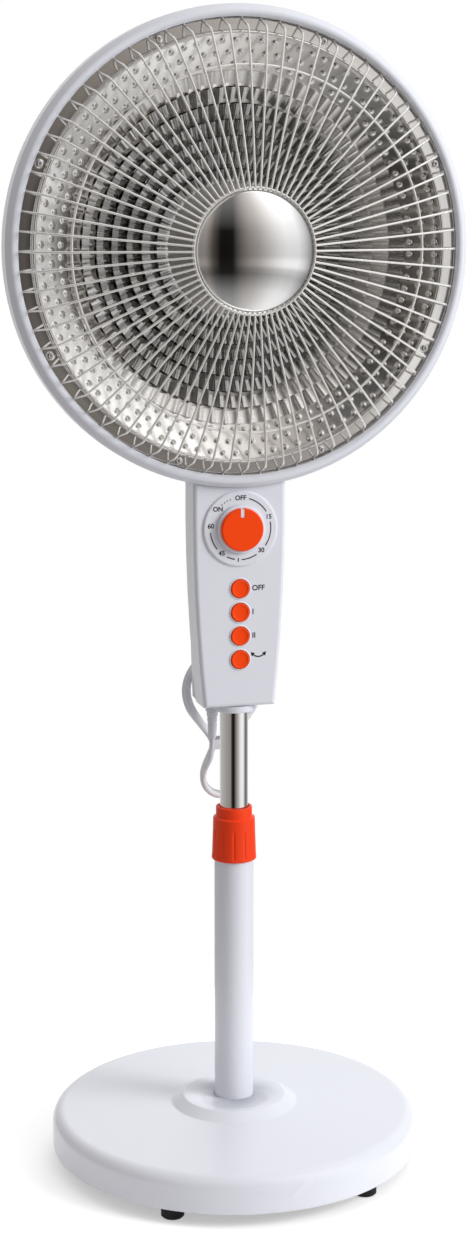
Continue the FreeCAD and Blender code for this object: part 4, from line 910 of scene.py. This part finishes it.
def make_dial_print():
    for words, degrees in DIAL_WORDS:
        x, z = dial_spot(DIAL_LETTER_R, degrees)
        lettering("dial_" + words.lower(), words, DIAL_LETTER, x, DIAL_FACE, z)
    verts, faces = [], []
    for first, final in DIAL_ARCS:
        turns = [first + (final - first) * i / ARC_STEPS for i in range(ARC_STEPS + 1)]
        stroke(verts, faces, [dial_spot(DIAL_LINE_R, t) for t in turns], DIAL_LINE, DIAL_FACE)
    stroke(verts, faces, [dial_spot(r, DIAL_BAR) for r in DIAL_BAR_ENDS], DIAL_LINE, DIAL_FACE)
    for degrees in DIAL_DOTS:
        stroke(verts, faces, [dial_spot(r, degrees) for r in DIAL_DOT_ENDS], DIAL_LINE, DIAL_FACE)
    mesh_piece("dial_marks", verts, faces, "upper", "print_ink")


def make_button_print():
    for words, tag in BUTTON_WORDS:
        lettering("label_" + words.lower(), words, BUTTON_LETTER,
                  BUTTON_LETTER_X, PANEL, BUTTONS[tag], "LEFT")
    arc = []
    for i in range(SWING_STEPS + 1):
        t = math.radians(SWING_FIRST + SWING_SPAN * i / SWING_STEPS)
        arc.append((SWING_X + SWING_R * math.cos(t), SWING_Z + SWING_R * math.sin(t)))
    verts, faces = [], []
    stroke(verts, faces, arc, SWING_LINE, PANEL)
    arrow_head(verts, faces, arc[0], arc[2], PANEL)
    arrow_head(verts, faces, arc[-1], arc[-3], PANEL)
    mesh_piece("swing_mark", verts, faces, "upper", "print_ink")


make_dial_print()
make_button_print()


# Push buttons, and the rims of their holes

RIM_ROWS = [(8.5, 0.0), (8.5, 0.45), (8.65, 0.7), (8.95, 0.8), (9.3, 0.66), (9.6, 0.3), (9.75, 0.0)]
BUTTON_STEM_R, BUTTON_STEM = 3.0, 11.0
BUTTON_ROUND = 1.0
RIM_POINTS, BUTTON_POINTS = 48, 64
# Dish of the face: distances in from its edge, or radii, and depths below its front
DISH_EDGE = [(1.3, 0.0), (1.55, 0.12), (1.8, 0.4), (2.1, 0.5)]
DISH_FACE = [(4.0, 0.62), (2.0, 0.7), (0.0, 0.72)]


def make_button_rims():
    """Low raised lips round the four button holes."""
    verts, faces = [], []
    for z in BUTTONS.values():
        lathe(verts, faces, RIM_ROWS, RIM_POINTS, (0.0, PANEL, z), axis="y")
    mesh_piece("button_rims", verts, faces, "upper", "white_gloss")


def make_button(tag):
    """A push button with a rounded rim round a dished face, on its stem."""
    low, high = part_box("button_" + tag)
    radius = (high[0] - low[0]) / 2 / MM
    front, tail = -low[1] / MM, -high[1] / MM
    back = tail + BUTTON_STEM
    z = (low[2] + high[2]) / 2 / MM
    rows = [(0.0, tail), (BUTTON_STEM_R, tail), (BUTTON_STEM_R, back), (radius, back),
            (radius, front - BUTTON_ROUND)]
    for t in QUARTER[1:]:
        inset, deep = BUTTON_ROUND * (1 - math.cos(t)), BUTTON_ROUND * (1 - math.sin(t))
        rows.append((radius - inset, front - deep))
    rows += [(radius - inset, front - deep) for inset, deep in DISH_EDGE]
    rows += [(reach, front - deep) for reach, deep in DISH_FACE]
    verts, faces = [], []
    lathe(verts, faces, rows, BUTTON_POINTS, (0.0, 0.0, z), axis="y")
    obj = mesh_piece("push_" + tag, verts, faces, "button_" + tag, "orange_gloss")
    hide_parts("button_" + tag)


make_button_rims()
for kind in BUTTONS:
    make_button(kind)


# Back of the housing: shoulders beside the spine, and its screws

BOX_LOW, BOX_HIGH = 419.0, 198.0
BOX_HALF, BOX_FLARE, BOX_BULGE, BOX_WALL = 31.8, 8.8, 12.0, 2.5
BACK = 10.0
SPINE_LOW, SPINE_HIGH = 417.0, 195.0
SPINE_HALF, SPINE_FLARE, SPINE_BACK = 27.0, 6.0, 45.0
SHOULDER_LOW, SHOULDER_HIGH, SHOULDER_STEPS = 421.2, 183.1, 24
SHOULDER_FILLET, SHOULDER_SINK = 1.6, 0.25
# How far the shoulders reach into the wall and into the spine, and up inside it
WALL_OVERLAP, SPINE_OVERLAP, SPINE_RISE = 0.5, 0.6, 1.2
SPINE_SCREWS = ((-18.0, 492.0), (18.0, 492.0), (-18.0, 588.0), (18.0, 588.0))
SPINE_SCREW_R, SPINE_SCREW_HIGH = 3.2, 1.7


def wall_inside(z):
    """Half width inside the bowed side walls."""
    part = (z - BOX_LOW) / BOX_HIGH
    return BOX_HALF + BOX_FLARE * part + BOX_BULGE * part * (1.0 - part) - BOX_WALL


def spine_side(z):
    """Half width of the spine."""
    return SPINE_HALF + SPINE_FLARE * (z - SPINE_LOW) / SPINE_HIGH


def shoulder_section(z):
    """Outline (x, y) of one shoulder: a floor with a fillet up the spine."""
    inner, outer = spine_side(z), wall_inside(z) + WALL_OVERLAP
    floor = BACK - SHOULDER_SINK
    section = [(outer, BACK - BOX_WALL), (outer, floor)]
    for t in QUARTER:
        out, up = SHOULDER_FILLET * (1 - math.sin(t)), SHOULDER_FILLET * (1 - math.cos(t))
        section.append((inner + out, floor + up))
    root = inner - SPINE_OVERLAP
    section += [(root, BACK + SPINE_RISE), (root, BACK - BOX_WALL)]
    return section


def make_shoulders():
    """The rear moulding's floor between each side wall and the spine."""
    verts, faces = [], []
    for side in (-1, 1):
        rings = []
        for i in range(SHOULDER_STEPS + 1):
            z = SHOULDER_LOW + SHOULDER_HIGH * i / SHOULDER_STEPS
            rings.append(add_ring(verts, [(x * side, y, z) for x, y in shoulder_section(z)]))
        skin(faces, rings[::side], capped=True)
    mesh_piece("rear_shoulders", verts, faces, "upper", "white_gloss")


def make_spine_screws():
    verts, faces = [], []
    for x, z in SPINE_SCREWS:
        screw_head(verts, faces, SPINE_SCREW_R, SPINE_SCREW_HIGH,
                   lambda a, b, w: (x - a, SPINE_BACK + w, z + b))
    mesh_piece("spine_screws", verts, faces, "upper", "steel")


make_shoulders()
make_spine_screws()


# Studio: pale floor, soft lamps, a room that bright metal can mirror; sizes are in metres

FLOOR_R, FLOOR_POINTS = 0.43, 96
FLOOR_GLOW = 0.42


def seen_rays(tree, behind=None):
    """One for camera rays, and for mirrored and transmitted ones, which may be kept to a zone."""
    path = tree.nodes.new("ShaderNodeLightPath")
    bent = tree.nodes.new("ShaderNodeMath")
    bent.operation = "MAXIMUM"
    tree.links.new(path.outputs["Is Glossy Ray"], bent.inputs[0])
    tree.links.new(path.outputs["Is Transmission Ray"], bent.inputs[1])
    if behind:
        zone = tree.nodes.new("ShaderNodeMath")
        zone.operation = "MULTIPLY"
        tree.links.new(bent.outputs[0], zone.inputs[0])
        tree.links.new(behind, zone.inputs[1])
        bent = zone
    seen = tree.nodes.new("ShaderNodeMath")
    seen.operation = "MAXIMUM"
    tree.links.new(path.outputs["Is Camera Ray"], seen.inputs[0])
    tree.links.new(bent.outputs[0], seen.inputs[1])
    return seen.outputs[0]


def make_floor():
    """A round pale floor; it keeps the shadow, and its edge is lost in the white."""
    mesh = bpy.data.meshes.new("floor")
    ring = [(a, b, 0.0) for a, b in circle(FLOOR_R, FLOOR_POINTS)]
    mesh.from_pydata(ring, [], [tuple(range(FLOOR_POINTS))])
    floor = bpy.data.objects.new("floor", mesh)
    scene.collection.objects.link(floor)
    s = Shader("floor", (0.84, 0.84, 0.85), 0.9)
    s.tint(s.noise(size=0.4, detail=2.0), dark=0.99, light=1.0)
    s.set("Specular IOR Level", 0.1)
    glow = s.add("ShaderNodeEmission", Strength=1.0)
    glow.inputs["Color"].default_value = (FLOOR_GLOW, FLOOR_GLOW, FLOOR_GLOW, 1.0)
    total = s.add("ShaderNodeAddShader")
    mix = s.add("ShaderNodeMixShader")
    s.link(s.main.outputs["BSDF"], total.inputs[0])
    s.link(glow.outputs["Emission"], total.inputs[1])
    s.link(seen_rays(s.tree), mix.inputs["Fac"])
    s.link(s.main.outputs["BSDF"], mix.inputs[1])
    s.link(total.outputs["Shader"], mix.inputs[2])
    s.link(mix.outputs["Shader"], s.out.inputs["Surface"])
    mesh.materials.append(s.mat)


# Colours round the room, in degrees to the right of the camera
ROOM = [(-180, 0.7, 0.7, 0.7), (-138, 0.6, 0.59, 0.58), (-100, 0.5, 0.486, 0.472),
        (-60, 0.39, 0.366, 0.35), (-28, 0.33, 0.301, 0.28), (-20, 0.09, 0.08, 0.073),
        (-12, 0.01, 0.009, 0.008), (2, 0.01, 0.009, 0.008), (8, 0.11, 0.1, 0.092),
        (19, 0.3, 0.27, 0.25), (30, 0.45, 0.42, 0.4), (41, 0.68, 0.655, 0.64),
        (52, 0.92, 0.91, 0.905), (63, 1.08, 1.08, 1.08), (78, 1.08, 1.08, 1.09),
        (88, 0.78, 0.78, 0.79), (100, 0.26, 0.26, 0.26), (115, 0.16, 0.16, 0.16),
        (140, 0.5, 0.5, 0.5), (180, 0.7, 0.7, 0.7)]
# Levels from floor to ceiling that multiply the room, and that are added to it
HEIGHTS = [(-1.0, 0.5), (-0.85, 0.58), (-0.656, 0.66), (-0.41, 0.46), (-0.32, 0.6), (-0.26, 0.9),
           (-0.19, 0.9), (-0.1, 0.7), (0.06, 0.74), (0.34, 0.95), (0.6, 1.15), (0.8, 1.2)]
HAZE = [(-1.0, 0.4), (-0.85, 0.32), (-0.72, 0.22), (-0.58, 0.1), (-0.41, 0.01), (-0.2, 0.0),
        (0.35, 0.0), (0.6, 0.08), (0.8, 0.16), (1.0, 0.2)]
# Mirrored and transmitted rays see the white backdrop where they point away from the camera
BACKDROP_FROM, BACKDROP_FULL = 0.75, 0.95


def make_world():
    world = bpy.data.worlds.new("room")
    scene.world = world
    world.use_nodes = True
    tree = world.node_tree
    tree.nodes.clear()

    def add(kind, **values):
        node = tree.nodes.new(kind)
        for key, value in values.items():
            setattr(node, key, value)
        return node

    def span(source, low, high):
        node = add("ShaderNodeMapRange")
        node.inputs["From Min"].default_value = low
        node.inputs["From Max"].default_value = high
        tree.links.new(source, node.inputs["Value"])
        return node.outputs["Result"]

    coords = add("ShaderNodeTexCoord")
    spin = add("ShaderNodeVectorRotate", rotation_type="Z_AXIS")
    spin.inputs["Angle"].default_value = math.radians(-CAMERA_TURN)
    tree.links.new(coords.outputs["Generated"], spin.inputs["Vector"])
    split = add("ShaderNodeSeparateXYZ")
    tree.links.new(spin.outputs["Vector"], split.inputs["Vector"])
    flip = add("ShaderNodeMath", operation="MULTIPLY")
    flip.inputs[1].default_value = -1.0
    tree.links.new(split.outputs["Y"], flip.inputs[0])
    angle = add("ShaderNodeMath", operation="ARCTAN2")
    tree.links.new(split.outputs["X"], angle.inputs[0])
    tree.links.new(flip.outputs[0], angle.inputs[1])
    walls = add("ShaderNodeValToRGB")
    fill_ramp(walls, [((degrees + 180) / 360, r, g, b) for degrees, r, g, b in ROOM])
    tree.links.new(span(angle.outputs[0], -math.pi, math.pi), walls.inputs["Fac"])
    upright = span(split.outputs["Z"], -1.0, 1.0)
    colour = walls.outputs["Color"]
    for levels, way in ((HEIGHTS, "MULTIPLY"), (HAZE, "ADD")):
        ramp = add("ShaderNodeValToRGB")
        fill_ramp(ramp, [((z + 1) / 2, level, level, level) for z, level in levels])
        tree.links.new(upright, ramp.inputs["Fac"])
        join = add("ShaderNodeMix", data_type="RGBA", blend_type=way)
        join.inputs[0].default_value = 1.0
        tree.links.new(colour, join.inputs[6])
        tree.links.new(ramp.outputs["Color"], join.inputs[7])
        colour = join.outputs[2]
    room = add("ShaderNodeBackground")
    tree.links.new(colour, room.inputs["Color"])
    white = add("ShaderNodeBackground")
    white.inputs["Color"].default_value = (1, 1, 1, 1)
    mix = add("ShaderNodeMixShader")
    behind = span(split.outputs["Y"], BACKDROP_FROM, BACKDROP_FULL)
    tree.links.new(seen_rays(tree, behind), mix.inputs["Fac"])
    tree.links.new(room.outputs["Background"], mix.inputs[1])
    tree.links.new(white.outputs["Background"], mix.inputs[2])
    out = add("ShaderNodeOutputWorld")
    tree.links.new(mix.outputs["Shader"], out.inputs["Surface"])


LAMP_AIM = (0.0, 0.0, 0.6)


def make_lamp(name, place, size, power):
    data = bpy.data.lights.new(name, "AREA")
    data.shape = "ELLIPSE"
    data.size, data.size_y = size
    data.energy = power
    lamp = bpy.data.objects.new(name, data)
    lamp.location = place
    lamp.rotation_euler = (Vector(LAMP_AIM) - Vector(place)).to_track_quat("-Z", "Y").to_euler()
    lamp.visible_camera = False
    lamp.visible_glossy = False
    scene.collection.objects.link(lamp)


make_floor()
make_world()
make_lamp("key", (1.9, -1.45, 1.5), (1.2, 1.4), 43.0)
make_lamp("fill", (-0.9, -2.4, 1.0), (1.2, 1.6), 6.0)
make_lamp("back", (1.1, 2.3, 1.5), (1.4, 1.6), 13.0)
